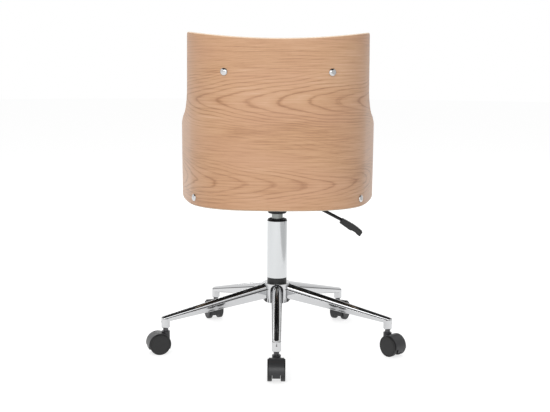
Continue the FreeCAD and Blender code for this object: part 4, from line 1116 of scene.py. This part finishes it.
@dataclass
class StarBase:
    """The cast and plated base: a hub, five ribbed arms and a boss for each caster.

    The ledge lists points beside an arm's dome: outwards and downwards in shares of the
    ledge's width, and how much painted shade darkens them in the crease beside the dome.
    """

    arms: int = 5
    hub_radius: float = 0.034
    hub_foot: float = 0.109
    hub_top: float = 0.158
    rim: float = 0.002
    bore: float = 0.0224
    groove_width: float = 0.0017
    groove_depth: float = 0.0026
    reach: float = 0.2826
    boss_radius: float = 0.0105
    boss_foot: float = 0.0625
    root_top: float = 0.155
    tip_top: float = 0.092
    root_width: float = 0.0272
    tip_width: float = 0.0195
    root_height: float = 0.036
    tip_height: float = 0.0145
    root_crown: float = 0.0135
    tip_crown: float = 0.0055
    ledge_share: float = 0.16
    # The third number of each ledge point is painted shade, a dark band in the crease.
    ledge: tuple[tuple[float, float, float], ...] = (
        (0.10, 0.30, 1.0), (0.34, 0.62, 1.0), (0.72, 0.90, 0.3), (0.94, 1.20, 0.0), (1.0, 1.7, 0.0))
    draft_angle: float = 4.5
    wall: float = 0.0028
    hollow: float = 0.62

    def at(self, root: float, tip: float, reach: float) -> float:
        """Blend a size along the arm's straight taper.

        Args:
            root: The size at the hub.
            tip: The size at the boss.
            reach: The distance from the column's axis.

        Returns:
            The size there.
        """
        share = (reach - self.hub_radius) / (self.reach - self.hub_radius)
        return root + (tip - root) * share

    def half_section(self, reach: float) -> list[tuple[float, float, float]]:
        """Draw half of the arm's section: its dome, a narrow ledge and its drafted wall.

        Args:
            reach: The distance from the column's axis.

        Returns:
            Points of distance sideways, height and painted shade, from the ridge to the foot.
        """
        half = self.at(self.root_width, self.tip_width, reach) / 2
        crown = self.at(self.root_crown, self.tip_crown, reach)
        top = self.at(self.root_top, self.tip_top, reach)
        foot = top - self.at(self.root_height, self.tip_height, reach)
        if reach > self.reach:
            beyond = min(1.0, (reach - self.reach) / self.boss_radius)
            narrow = max(0.02, math.sqrt(1 - beyond ** 2))
            half = half * (1 - beyond) + self.boss_radius * narrow * beyond
            half = min(half, self.boss_radius * narrow)
            crown *= 0.6 + 0.4 * narrow
            top -= crown * 0.12 * beyond
        step = half * self.ledge_share
        dome = half - step
        points = []
        for index in range(15):
            angle = math.radians(86) * index / 14
            points.append((dome * math.sin(angle) / math.sin(math.radians(86)),
                           top - crown * (1 - math.cos(angle)), 0.0))
        last = points[-1][1]
        # The dome's last point and the ledge carry painted shade, which darkens the crease.
        points[-1] = (dome, last, 0.6)
        for out, down, dark in self.ledge:
            points.append((dome + step * out, last - step * down, dark))
        drop = points[-1][1] - foot
        draft = math.tan(math.radians(self.draft_angle)) * drop
        points.append((half - draft * 0.5, points[-1][1] - drop * 0.5, 0.0))
        points.append((half - draft + 0.0003, foot + 0.0012, 0.0))
        points.append((half - draft - 0.0004, foot + 0.0003, 0.0))
        points.append((half - draft - 0.0012, foot, 0.0))
        return points

    def stations(self) -> list[float]:
        """List the reaches at which the arm's section is drawn.

        Returns:
            The reaches, from inside the hub to the rounded tip.
        """
        inside = self.hub_radius - 0.004
        count = 20
        spots = [inside + (self.reach - inside) * step / count for step in range(count + 1)]
        tips = [self.reach + self.boss_radius * math.sin(math.radians(angle))
                for angle in (12, 24, 36, 48, 58, 66, 73, 79, 84, 87.5)]
        return spots + tips

    def arm(self) -> bmesh.types.BMesh:
        """Bridge the arm's sections, close its ends and hollow it from below.

        Returns:
            One arm along +X.
        """
        mesh = bmesh.new()
        # This layer holds the painted shade of the ledge's crease.
        dull_shaded_recess = mesh.verts.layers.float.new("dull_shaded_recess")
        loops = []
        for reach in self.stations():
            half = self.half_section(reach)
            whole = half + [(-side, height, dark) for side, height, dark in half[:0:-1]]
            ring = []
            for side, height, dark in whole:
                vert = mesh.verts.new((reach, side, height))
                vert[dull_shaded_recess] = dark
                ring.append(vert)
            loops.append([mesh.edges.new((ring[index], ring[(index + 1) % len(ring)]))
                          for index in range(len(ring))])
        for first, second in zip(loops, loops[1:]):
            bmesh.ops.bridge_loops(mesh, edges=first + second)
        bmesh.ops.contextual_create(mesh, geom=loops[0])
        bmesh.ops.contextual_create(mesh, geom=loops[-1])
        bmesh.ops.recalc_face_normals(mesh, faces=mesh.faces)
        floor = [face for face in mesh.faces
                 if face.normal.z < -0.9 and face.calc_center_median().x < self.reach - 0.016]
        bmesh.ops.inset_region(mesh, faces=floor, thickness=self.wall - 0.0008, use_even_offset=True)
        ceiling = raised(mesh, floor)
        bmesh.ops.delete(mesh, geom=floor, context="FACES")
        for vert in ceiling:
            height = self.at(self.root_height, self.tip_height, vert.co.x)
            vert.co.z += height * self.hollow
        bmesh.ops.recalc_face_normals(mesh, faces=mesh.faces)
        return mesh

    def boss(self) -> bmesh.types.BMesh:
        """Turn the boss under an arm's tip, with its stem hole.

        Returns:
            One boss on +X.
        """
        radius, foot, chamfer = self.boss_radius, self.boss_foot, 0.0014
        top = self.tip_top - self.tip_crown - 0.001
        mesh = closed_turned([
            (0.0056, foot), (radius - chamfer, foot), (radius - 0.0003, foot + chamfer),
            (radius, foot + chamfer + 0.0005), (radius, top - 0.0004), (radius - 0.0006, top),
            (0.0056, top)], 64)
        bmesh.ops.translate(mesh, verts=mesh.verts, vec=(self.reach, 0.0, 0.0))
        return mesh

    def off_arch(self, side: float, height: float) -> float:
        """Measure how far a point of the hub's face lies outside the arm's arch.

        Args:
            side: The distance sideways from the arm's middle.
            height: The height.

        Returns:
            The distance, negative under the arch.
        """
        half = self.root_width / 2
        shoulder = self.root_top - self.root_crown
        if height > shoulder:
            rise = (height - shoulder) / self.root_crown * half
            return math.hypot(side, rise) - half
        return abs(side) - half

    def hub(self) -> bmesh.types.BMesh:
        """Turn the hub on a fine grid, press a groove round each arm's arch and paint shade into the
        groove.

        Returns:
            The hub.
        """
        radius, foot, top, rim = self.hub_radius, self.hub_foot, self.hub_top, self.rim
        def corner(middle: float, start: float) -> list[tuple[float, float]]:
            """Round one outer corner from a start angle on."""
            angles = [start + math.pi / 12 * step for step in range(1, 6)]
            return [(radius - rim + rim * math.cos(angle), middle + rim * math.sin(angle))
                    for angle in angles]

        rows = 90
        outer = [(self.bore, foot), (radius - rim, foot), *corner(foot + rim, -math.pi / 2)]
        outer += [(radius, foot + rim + (top - foot - 2 * rim) * step / rows)
                  for step in range(rows + 1)]
        outer += [*corner(top - rim, 0.0), (radius - rim, top), (self.bore + 0.0006, top),
                  (self.bore, top - 0.0006)]
        mesh = closed_turned(outer, 360)
        # This layer holds the painted shade in the grooves.
        dull_shaded_recess = mesh.verts.layers.float.new("dull_shaded_recess")
        for vert in mesh.verts:
            distance = math.hypot(vert.co.x, vert.co.y)
            if distance < radius - rim * 1.01:
                continue
            turn = math.atan2(vert.co.y, vert.co.x) - math.pi / 2
            pitch = math.tau / self.arms
            turn -= round(turn / pitch) * pitch
            off = self.off_arch(radius * math.sin(turn), vert.co.z)
            depth = smooth_step(self.groove_width + 0.0006, self.groove_width - 0.0003, off) \
                if off > 0 else 1.0
            if depth > 0:
                share = (distance - self.groove_depth * depth) / distance
                vert.co.x *= share
                vert.co.y *= share
                # The groove's depth share is also its painted shade.
                vert[dull_shaded_recess] = depth
        return mesh

    def build(self) -> bpy.types.Object:
        """Join the hub, the arms and the bosses into one plated casting.

        Returns:
            The base.
        """
        mesh = self.hub()
        pitch = Matrix.Rotation(math.tau / self.arms, 4, "Z")
        for part in (self.arm(), self.boss()):
            data = bpy.data.meshes.new("limb")
            part.to_mesh(data)
            part.free()
            data.transform(Matrix.Rotation(math.pi / 2, 4, "Z"))
            for _ in range(self.arms):
                mesh.from_mesh(data)
                data.transform(pitch)
            bpy.data.meshes.remove(data)
        piece = make_piece(mesh, "plated_base", "base", (CHROME,),
                           ("star_base",), 32.0)
        return weigh_normals(piece)


# Lever

@dataclass
class LeverHandle:
    """The moulded paddle on the height lever, ribbed on top and notched below.

    The bend is the x and z of the rod's bend. The rod runs down from there at its slope, and
    the paddle at its tilt, both in degrees.
    """

    bend: tuple[float, float] = (-0.0506, 0.3715)
    slope: float = 27.6
    run: float = 0.122
    tilt: float = 34.0
    width: float = 0.018
    rim: float = 0.0009
    rib: float = 0.0020
    rib_pitch: float = 0.0040
    first_rib: float = 0.0570
    last_rib: float = 0.027

    def outline(self) -> list[tuple[float, float]]:
        """Draw the paddle's side: a straight root, a finger notch and a cut tip.

        Returns:
            Points along the paddle and their heights.
        """
        foot = [(0.0, -0.0086), (0.014, -0.0089), (0.029, -0.0092), (0.032, -0.0090),
                (0.0345, -0.0074), (0.040, -0.0066), (0.046, -0.0067), (0.050, -0.0078),
                (0.053, -0.0083), (0.0593, -0.0083), (0.0600, -0.0076)]
        tip = [(0.0600, 0.0032), (0.0588, 0.0050)]
        ribs = []
        place = self.first_rib
        while place > self.last_rib:
            height = 0.0044 + 0.0016 * smooth_step(0.058, 0.040, place)
            ribs += [(place, height), (place - self.rib_pitch * 0.18, height + self.rib),
                     (place - self.rib_pitch * 0.55, height + self.rib),
                     (place - self.rib_pitch * 0.73, height)]
            place -= self.rib_pitch
        return foot + tip + ribs + [(0.024, 0.0074), (0.012, 0.0062), (0.0, 0.0048)]

    def build(self) -> bpy.types.Object:
        """Extrude the side, round its long edges and set it on the rod.

        Returns:
            The paddle.
        """
        mesh = slab(((place, -self.width / 2, height) for place, height in self.outline()), 1,
                    self.width, self.rim, 3)
        slope, tilt = math.radians(self.slope), math.radians(self.tilt)
        joint = Vector((self.bend[0] - self.run * math.cos(slope), 0.0,
                        self.bend[1] - self.run * math.sin(slope)))
        along = Vector((-math.cos(tilt), 0.0, -math.sin(tilt)))
        rise = Vector((-math.sin(tilt), 0.0, math.cos(tilt)))
        for vert in mesh.verts:
            place, across, height = vert.co
            vert.co = joint + along * place + Vector((0.0, across, 0.0)) + rise * height
        outward(mesh)
        piece = make_piece(mesh, "lever_paddle", "lever", (BLACK_PLASTIC,),
                           ("lever_handle",), 40.0)
        return weigh_normals(piece)


# Upholstery

@dataclass(frozen=True)
class Stuffing:
    """A pad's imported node, the air pressure in it, its cover's play and its fill."""

    node: str
    pressure: float
    play: float
    fill: float


class Pad(Enum):
    """The four upholstered pads."""

    SEAT = Stuffing("seat_cushion", 4.0, 0.012, 0.85)
    BACK = Stuffing("back_cushion", 3.0, 0.007, 0.75)
    LEFT = Stuffing("side_cushion_left", 2.0, 0.004, 0.7)
    RIGHT = Stuffing("side_cushion_right", 2.0, 0.004, 0.7)


def contour(mesh: bmesh.types.BMesh, level: Callable[[Vector], float]) -> list[Vector]:
    """Trace the longest closed line on a mesh where a level function is nought.

    Args:
        mesh: A closed mesh.
        level: A smooth function of place.

    Returns:
        The points of the line, in order.
    """
    heights = {vert: level(vert.co) for vert in mesh.verts}
    crossings: dict[bmesh.types.BMEdge, Vector] = {}
    for edge in mesh.edges:
        first, second = edge.verts
        low, high = heights[first], heights[second]
        if (low < 0) != (high < 0):
            crossings[edge] = first.co.lerp(second.co, low / (low - high))
    left = dict.fromkeys(crossings)
    best: list[Vector] = []
    while left:
        edge = next(iter(left))
        chain = []
        while edge is not None:
            del left[edge]
            chain.append(crossings[edge])
            edge = next((near for face in edge.link_faces for near in face.edges
                         if near in left), None)
        if len(chain) > len(best):
            best = chain
    return best


def evened(path: Sequence[Vector], spacing: float, rounds: int) -> list[Vector]:
    """Space a closed line's points evenly and smooth it a few times.

    Args:
        path: The closed line.
        spacing: The distance between points.
        rounds: How often to smooth.

    Returns:
        The new points.
    """
    length = sum((second - first).length for first, second in zip(path, [*path[1:], path[0]]))
    count = max(12, round(length / spacing))
    points, gone, target = [], 0.0, 0.0
    for first, second in zip(path, [*path[1:], path[0]]):
        step = (second - first).length
        while step > 0 and target <= gone + step and len(points) < count:
            points.append(first.lerp(second, (target - gone) / step))
            target += length / count
        gone += step
    for _ in range(rounds):
        points = [(points[index - 1] + 2 * points[index] + points[(index + 1) % len(points)]) / 4
                  for index in range(len(points))]
    return points


@dataclass
class Upholstery:
    """White pads: stuffed seat, back and wing pads with piped edges.

    A pad is held and seamed at a depth behind the shell's outer face, and the seat at a
    height, of which its seam is a share. The sewn channels run fore and aft on the seat and
    upright on the back, at the same distance from the middle. The tuck at the piping and the
    channels have a depth and a width.
    """

    shell: PlyShell
    voxel: float = 0.006
    pipe_radius: float = 0.0027
    pipe_spacing: float = 0.006
    frames: int = 16
    held_height: float = 0.012
    back_held: float = 0.021
    side_held: float = 0.015
    seat_seam: float = 0.72
    back_seam: float = 0.0255
    side_seam: float = 0.0195
    channel: float = 0.088
    back_face: float = 0.030
    tuck: tuple[float, float] = (0.0022, 0.005)
    seat_channel: tuple[float, float] = (0.0050, 0.0070)
    back_channel: tuple[float, float] = (0.0055, 0.0065)

    def held(self, pad: Pad, spots: Sequence[Vector]) -> list[int]:
        """List the points of a pad that rest on its board or liner.

        Args:
            pad: The pad.
            spots: Its points.

        Returns:
            The points' numbers.
        """
        if pad is Pad.SEAT:
            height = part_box(pad.value.node)[0].z + self.held_height
            return [index for index, spot in enumerate(spots) if spot.z < height]
        limit = self.back_held if pad is Pad.BACK else self.side_held
        return [index for index, spot in enumerate(spots) if self.shell.inside(spot)[1] < limit]

    def shrunk(self, pad: Pad) -> bpy.types.Object:
        """Copy a pad's solid, remesh it evenly and draw it in a little.

        Args:
            pad: The pad.

        Returns:
            An object with the even mesh.
        """
        mesh = bmesh.new()
        mesh.from_mesh(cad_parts[pad.value.node].data)
        bmesh.ops.remove_doubles(mesh, verts=mesh.verts, dist=2e-6)
        data = bpy.data.meshes.new(pad.value.node + "_blank")
        mesh.to_mesh(data)
        mesh.free()
        holder = bpy.data.objects.new(pad.value.node + "_blank", data)
        bpy.context.scene.collection.objects.link(holder)
        even = holder.modifiers.new("even", "REMESH")
        even.mode = "VOXEL"
        even.voxel_size = self.voxel
        calm = holder.modifiers.new("calm", "SMOOTH")
        calm.factor = 0.5
        calm.iterations = 3
        self.apply(holder)
        return holder

    def apply(self, holder: bpy.types.Object) -> None:
        """Bake an object's modifiers into its mesh.

        Args:
            holder: The object, which is changed.
        """
        graph = bpy.context.evaluated_depsgraph_get()
        baked = bpy.data.meshes.new_from_object(holder.evaluated_get(graph), depsgraph=graph)
        holder.modifiers.clear()
        old = holder.data
        holder.data = baked
        bpy.data.meshes.remove(old)

    def stuff(self, pad: Pad, holder: bpy.types.Object) -> None:
        """Let cloth under pressure fill the pad out, and limit how far it moves.

        Args:
            pad: The pad.
            holder: Its even mesh, which is changed.
        """
        start = [vert.co.copy() for vert in holder.data.vertices]
        pins = holder.vertex_groups.new(name="held")
        pins.add(self.held(pad, start), 1.0, "ADD")
        cloth = holder.modifiers.new("cloth", "CLOTH")
        settings = cloth.settings
        settings.vertex_group_mass = pins.name
        settings.use_pressure = True
        settings.uniform_pressure_force = pad.value.pressure
        settings.quality = 4
        settings.mass = 0.4
        settings.tension_stiffness = 22
        settings.compression_stiffness = 22
        settings.bending_stiffness = 3.0
        settings.effector_weights.gravity = 0.0
        cloth.collision_settings.use_collision = False
        scene = bpy.context.scene
        cloth.point_cache.frame_start = 1
        cloth.point_cache.frame_end = self.frames
        for number in range(1, self.frames + 1):
            scene.frame_set(number)
        self.apply(holder)
        scene.frame_set(1)
        play = pad.value.play
        for vert, spot in zip(holder.data.vertices, start):
            move = vert.co - spot
            reach = move.length
            if reach > 1e-7:
                vert.co = spot + move * (play * (1 - math.exp(-reach / play)) / reach)

    def piping(self, mesh: bmesh.types.BMesh, level: Callable[[Vector], float],
               name: str) -> None:
        """Run a piped seam round a pad where a level function is nought.

        Args:
            mesh: The pad's mesh.
            level: Nought where the seam runs.
            name: The piping's name.
        """
        line = evened(contour(mesh, level), self.pipe_spacing, 6)
        data = tube_round(line, self.pipe_radius, name)
        piece = dress(data, name, "seat", (PIPING,), (), 60.0)

    def level_for(self, pad: Pad) -> Callable[[Vector], float]:
        """Choose where a pad's piping runs.

        Args:
            pad: The pad.

        Returns:
            A function that is nought at the seam.
        """
        low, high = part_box(pad.value.node)
        if pad is Pad.SEAT:
            height = low.z + (high.z - low.z) * self.seat_seam
            return lambda spot: spot.z - height
        depth = self.back_seam if pad is Pad.BACK else self.side_seam
        return lambda spot: self.shell.inside(spot)[1] - depth

    def build(self) -> None:
        """Stuff each pad, seam it and put its piping on."""
        for pad in Pad:
            holder = self.shrunk(pad)
            self.stuff(pad, holder)
            mesh = bmesh.new()
            mesh.from_mesh(holder.data)
            blank = holder.data
            bpy.data.objects.remove(holder)
            bpy.data.meshes.remove(blank)
            level = self.level_for(pad)
            name = pad.value.node.replace("cushion", "pad")
            self.piping(mesh, level, name + "_piping")
            self.seam(pad, mesh, level)
            finishes = (LEATHERETTE,)
            if pad is Pad.SEAT:
                finishes = (LEATHERETTE, DUST_CLOTH)
                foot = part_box(pad.value.node)[0].z + 0.004
                for face in mesh.faces:
                    if face.calc_center_median().z < foot:
                        face.material_index = 1
            piece = make_piece(mesh, name, "seat", finishes,
                               (pad.value.node,), 80.0)
            rounder = piece.modifiers.new("rounder", "SUBSURF")
            rounder.levels = 1
            rounder.render_levels = 1

    def seam(self, pad: Pad, mesh: bmesh.types.BMesh, level: Callable[[Vector], float]) -> None:
        """Draw the surface in along the piping and along the sewn channels.

        Args:
            pad: The pad.
            mesh: Its mesh, which is changed.
            level: Nought where the piping runs.
        """
        mesh.normal_update()
        moves = {}
        for vert in mesh.verts:
            hollows = [(level(vert.co), *self.tuck)]
            if pad is Pad.BACK and self.shell.inside(vert.co)[1] > self.back_face:
                hollows += [(vert.co.x - line, *self.back_channel)
                            for line in (-self.channel, self.channel)]
            if pad is Pad.SEAT and vert.normal.z > 0.3:
                hollows += [(vert.co.x - line, *self.seat_channel)
                            for line in (-self.channel, self.channel)]
            pull = sum(depth * math.exp(-(away / width) ** 2) for away, depth, width in hollows)
            moves[vert] = -vert.normal * pull
        for vert, move in moves.items():
            vert.co += move


# Studio

@dataclass
class Studio:
    """A pale floor, soft lamps and the photograph's camera."""

    camera_spot: tuple[float, float, float] = (0.0, 2.4824, 0.7202)
    camera_turns: tuple[float, float, float] = (180.134, 81.48, 0.33)
    lens: float = 66.61
    light_level: float = 0.62
    aim: tuple[float, float, float] = (0.0, 0.0, 0.45)
    floor_tone: float = 0.42
    floor_glow: float = 0.72

    def camera(self) -> None:
        """Place the camera behind the chair, a little above the seat."""
        data = bpy.data.cameras.new("camera")
        data.lens = self.lens
        data.sensor_width = 36.0
        holder = bpy.data.objects.new("camera", data)
        place = Matrix.Translation(self.camera_spot)
        for turn, axis in zip(self.camera_turns, "ZXZ"):
            place = place @ Matrix.Rotation(math.radians(turn), 4, axis)
        holder.matrix_world = place
        bpy.context.scene.collection.objects.link(holder)
        bpy.context.scene.camera = holder

    def world(self) -> None:
        """Light evenly from all round, and show white behind the chair."""
        world = bpy.data.worlds.new("studio")
        bpy.context.scene.world = world
        world.use_nodes = True
        sheet = NodeSheet(world.node_tree)
        dim, white = (sheet.node("Background", {"Color": WHITE, "Strength": level}).outputs[0]
                      for level in (self.light_level, 1.0))
        mix = sheet.node("MixShader", {0: sheet.seen_white(), 1: dim, 2: white})
        sheet.node("OutputWorld", {0: mix.outputs[0]})

    def lamp(self, name: str, spot: Sequence[float], size: float, power: float) -> None:
        """Hang a soft square lamp that points at the chair.

        Args:
            name: The lamp's name.
            spot: Where it hangs.
            size: Its side.
            power: Its power in watts.
        """
        data = bpy.data.lights.new(name, "AREA")
        data.size = size
        data.energy = power
        holder = bpy.data.objects.new(name, data)
        away = Vector(spot) - Vector(self.aim)
        holder.matrix_world = (Matrix.Translation(spot)
                               @ away.to_track_quat("Z", "Y").to_matrix().to_4x4())
        bpy.context.scene.collection.objects.link(holder)

    def prop(self, name: str, mesh: bmesh.types.BMesh) -> tuple[bpy.types.Object, NodeSheet]:
        """Stand a studio piece in the scene and start its material.

        Args:
            name: The piece's name.
            mesh: Its mesh, which is freed.

        Returns:
            The object and the empty sheet of its material.
        """
        data = bpy.data.meshes.new(name)
        mesh.to_mesh(data)
        mesh.free()
        material = bpy.data.materials.new(name)
        material.use_nodes = True
        data.materials.append(material)
        holder = bpy.data.objects.new(name, data)
        bpy.context.scene.collection.objects.link(holder)
        return holder, NodeSheet(material.node_tree)

    def floor(self) -> None:
        """Lay the pale floor, which shows the chair's soft shadow."""
        mesh = bmesh.new()
        bmesh.ops.create_circle(mesh, cap_ends=True, radius=14.0, segments=96)
        _, sheet = self.prop("floor", mesh)
        matt = sheet.node("BsdfDiffuse", {"Color": grey(self.floor_tone)}).outputs[0]
        choice = sheet.node("MixShader", {0: sheet.seen_white(), 1: sheet.glow(0.0),
                                          2: sheet.glow(self.floor_glow)}).outputs[0]
        both = sheet.node("AddShader", {0: matt, 1: choice}).outputs[0]
        sheet.node("OutputMaterial", {"Surface": both})

    def card(self, name: str, corners: Sequence[Sequence[float]], level: float,
             fade: tuple[float, float] | None = None) -> None:
        """Hang a card that only shows in polished surfaces, as a photographer does.

        Args:
            name: The card's name.
            corners: Its four corners.
            level: How bright it looks, from 0 to 1.
            fade: Where along Y it starts to leave white and where it reaches its level.
        """
        mesh = bmesh.new()
        bmesh.ops.contextual_create(mesh, geom=[mesh.verts.new(corner) for corner in corners])
        holder, sheet = self.prop(name, mesh)
        if fade is not None:
            depth = sheet.node("SeparateXYZ", {0: sheet.place()}).outputs["Y"]
            level = sheet.ranged(depth, *fade, 1.0, level, True)
        sheet.node("OutputMaterial", {"Surface": sheet.glow(level)})
        for rays in ("camera", "diffuse", "transmission", "volume_scatter", "shadow"):
            setattr(holder, "visible_" + rays, False)

    def build(self) -> None:
        """Set up the whole studio."""
        bpy.context.scene.view_settings.view_transform = "Standard"
        self.camera()
        self.world()
        for name, spot, size, power in (
                ("key_lamp", (1.5, 3.4, 2.6), 2.4, 48.0),
                ("rear_panel", (-0.4, 4.4, 2.4), 3.6, 60.0),
                ("front_lamp", (0.8, -3.0, 2.4), 2.4, 46.0),
                ("top_lamp", (0.0, 0.0, 3.4), 2.4, 20.0)):
            self.lamp(name, spot, size, power)
        self.floor()
        self.card("ceiling_card", ((-2.6, -1.2, 3.1), (2.6, -1.2, 3.1),
                                   (2.6, 2.9, 2.0), (-2.6, 2.9, 2.0)), 0.03)
        self.card("side_card", ((-0.95, -1.4, 0.02), (-0.95, 3.0, 0.02),
                                (-0.95, 3.0, 1.3), (-0.95, -1.4, 1.3)), 0.72, (-1.4, 0.2))
        self.card("front_card", ((-1.8, -3.0, 1.45), (1.8, -3.0, 1.45),
                                 (1.8, -1.2, 3.1), (-1.8, -1.2, 3.1)), 0.05)


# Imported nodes

NODE_FINISHES = {
    "lift_column": COLUMN_CHROME, "pressure_tube": TUBE_STEEL,
    "column_guide_bush": BLACK_PLASTIC, "hub_collar": COLLAR_PLASTIC,
    "taper_socket": POWDER_BLACK, "lever_rod": POWDER_BLACK, "seat_plate": POWDER_BLACK,
    "seat_board": PLAIN_PLY, "back_liner": PLAIN_PLY, "dust_cover": DUST_CLOTH,
    "gas_piston": PISTON_ALLOY, "rod_buffer": BUFFER_RUBBER, "rod_guide": BLACK_PLASTIC,
}
FAMILY_FINISHES = {"caster_hood": HOOD_PLASTIC, "caster_wheel": WHEEL_NYLON,
                   "caster_stem": STEM_STEEL}
REPLACED = ("plywood_shell", "upper_shell_bolts", "lower_shell_bolts", "star_base",
            "lever_handle", *(pad.value.node for pad in Pad))


def finish_for(node: str) -> Finish:
    """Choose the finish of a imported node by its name, or by its family's name.

    Args:
        node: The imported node.

    Returns:
        The finish.
    """
    if node in NODE_FINISHES:
        return NODE_FINISHES[node]
    return next((finish for family, finish in FAMILY_FINISHES.items()
                 if node.startswith(family)), BARE_STEEL)


def main() -> None:
    """Build the studio and the chair."""
    logging.basicConfig(level=logging.INFO, format="%(name)s: %(message)s")
    Studio().build()
    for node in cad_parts:
        if node not in REPLACED:
            keep_node(node, finish_for(node))
    shell = PlyShell()
    shell.build()
    ShellBolts(shell).build()
    StarBase().build()
    LeverHandle().build()
    Upholstery(shell).build()


if __name__ == "__main__":
    main()
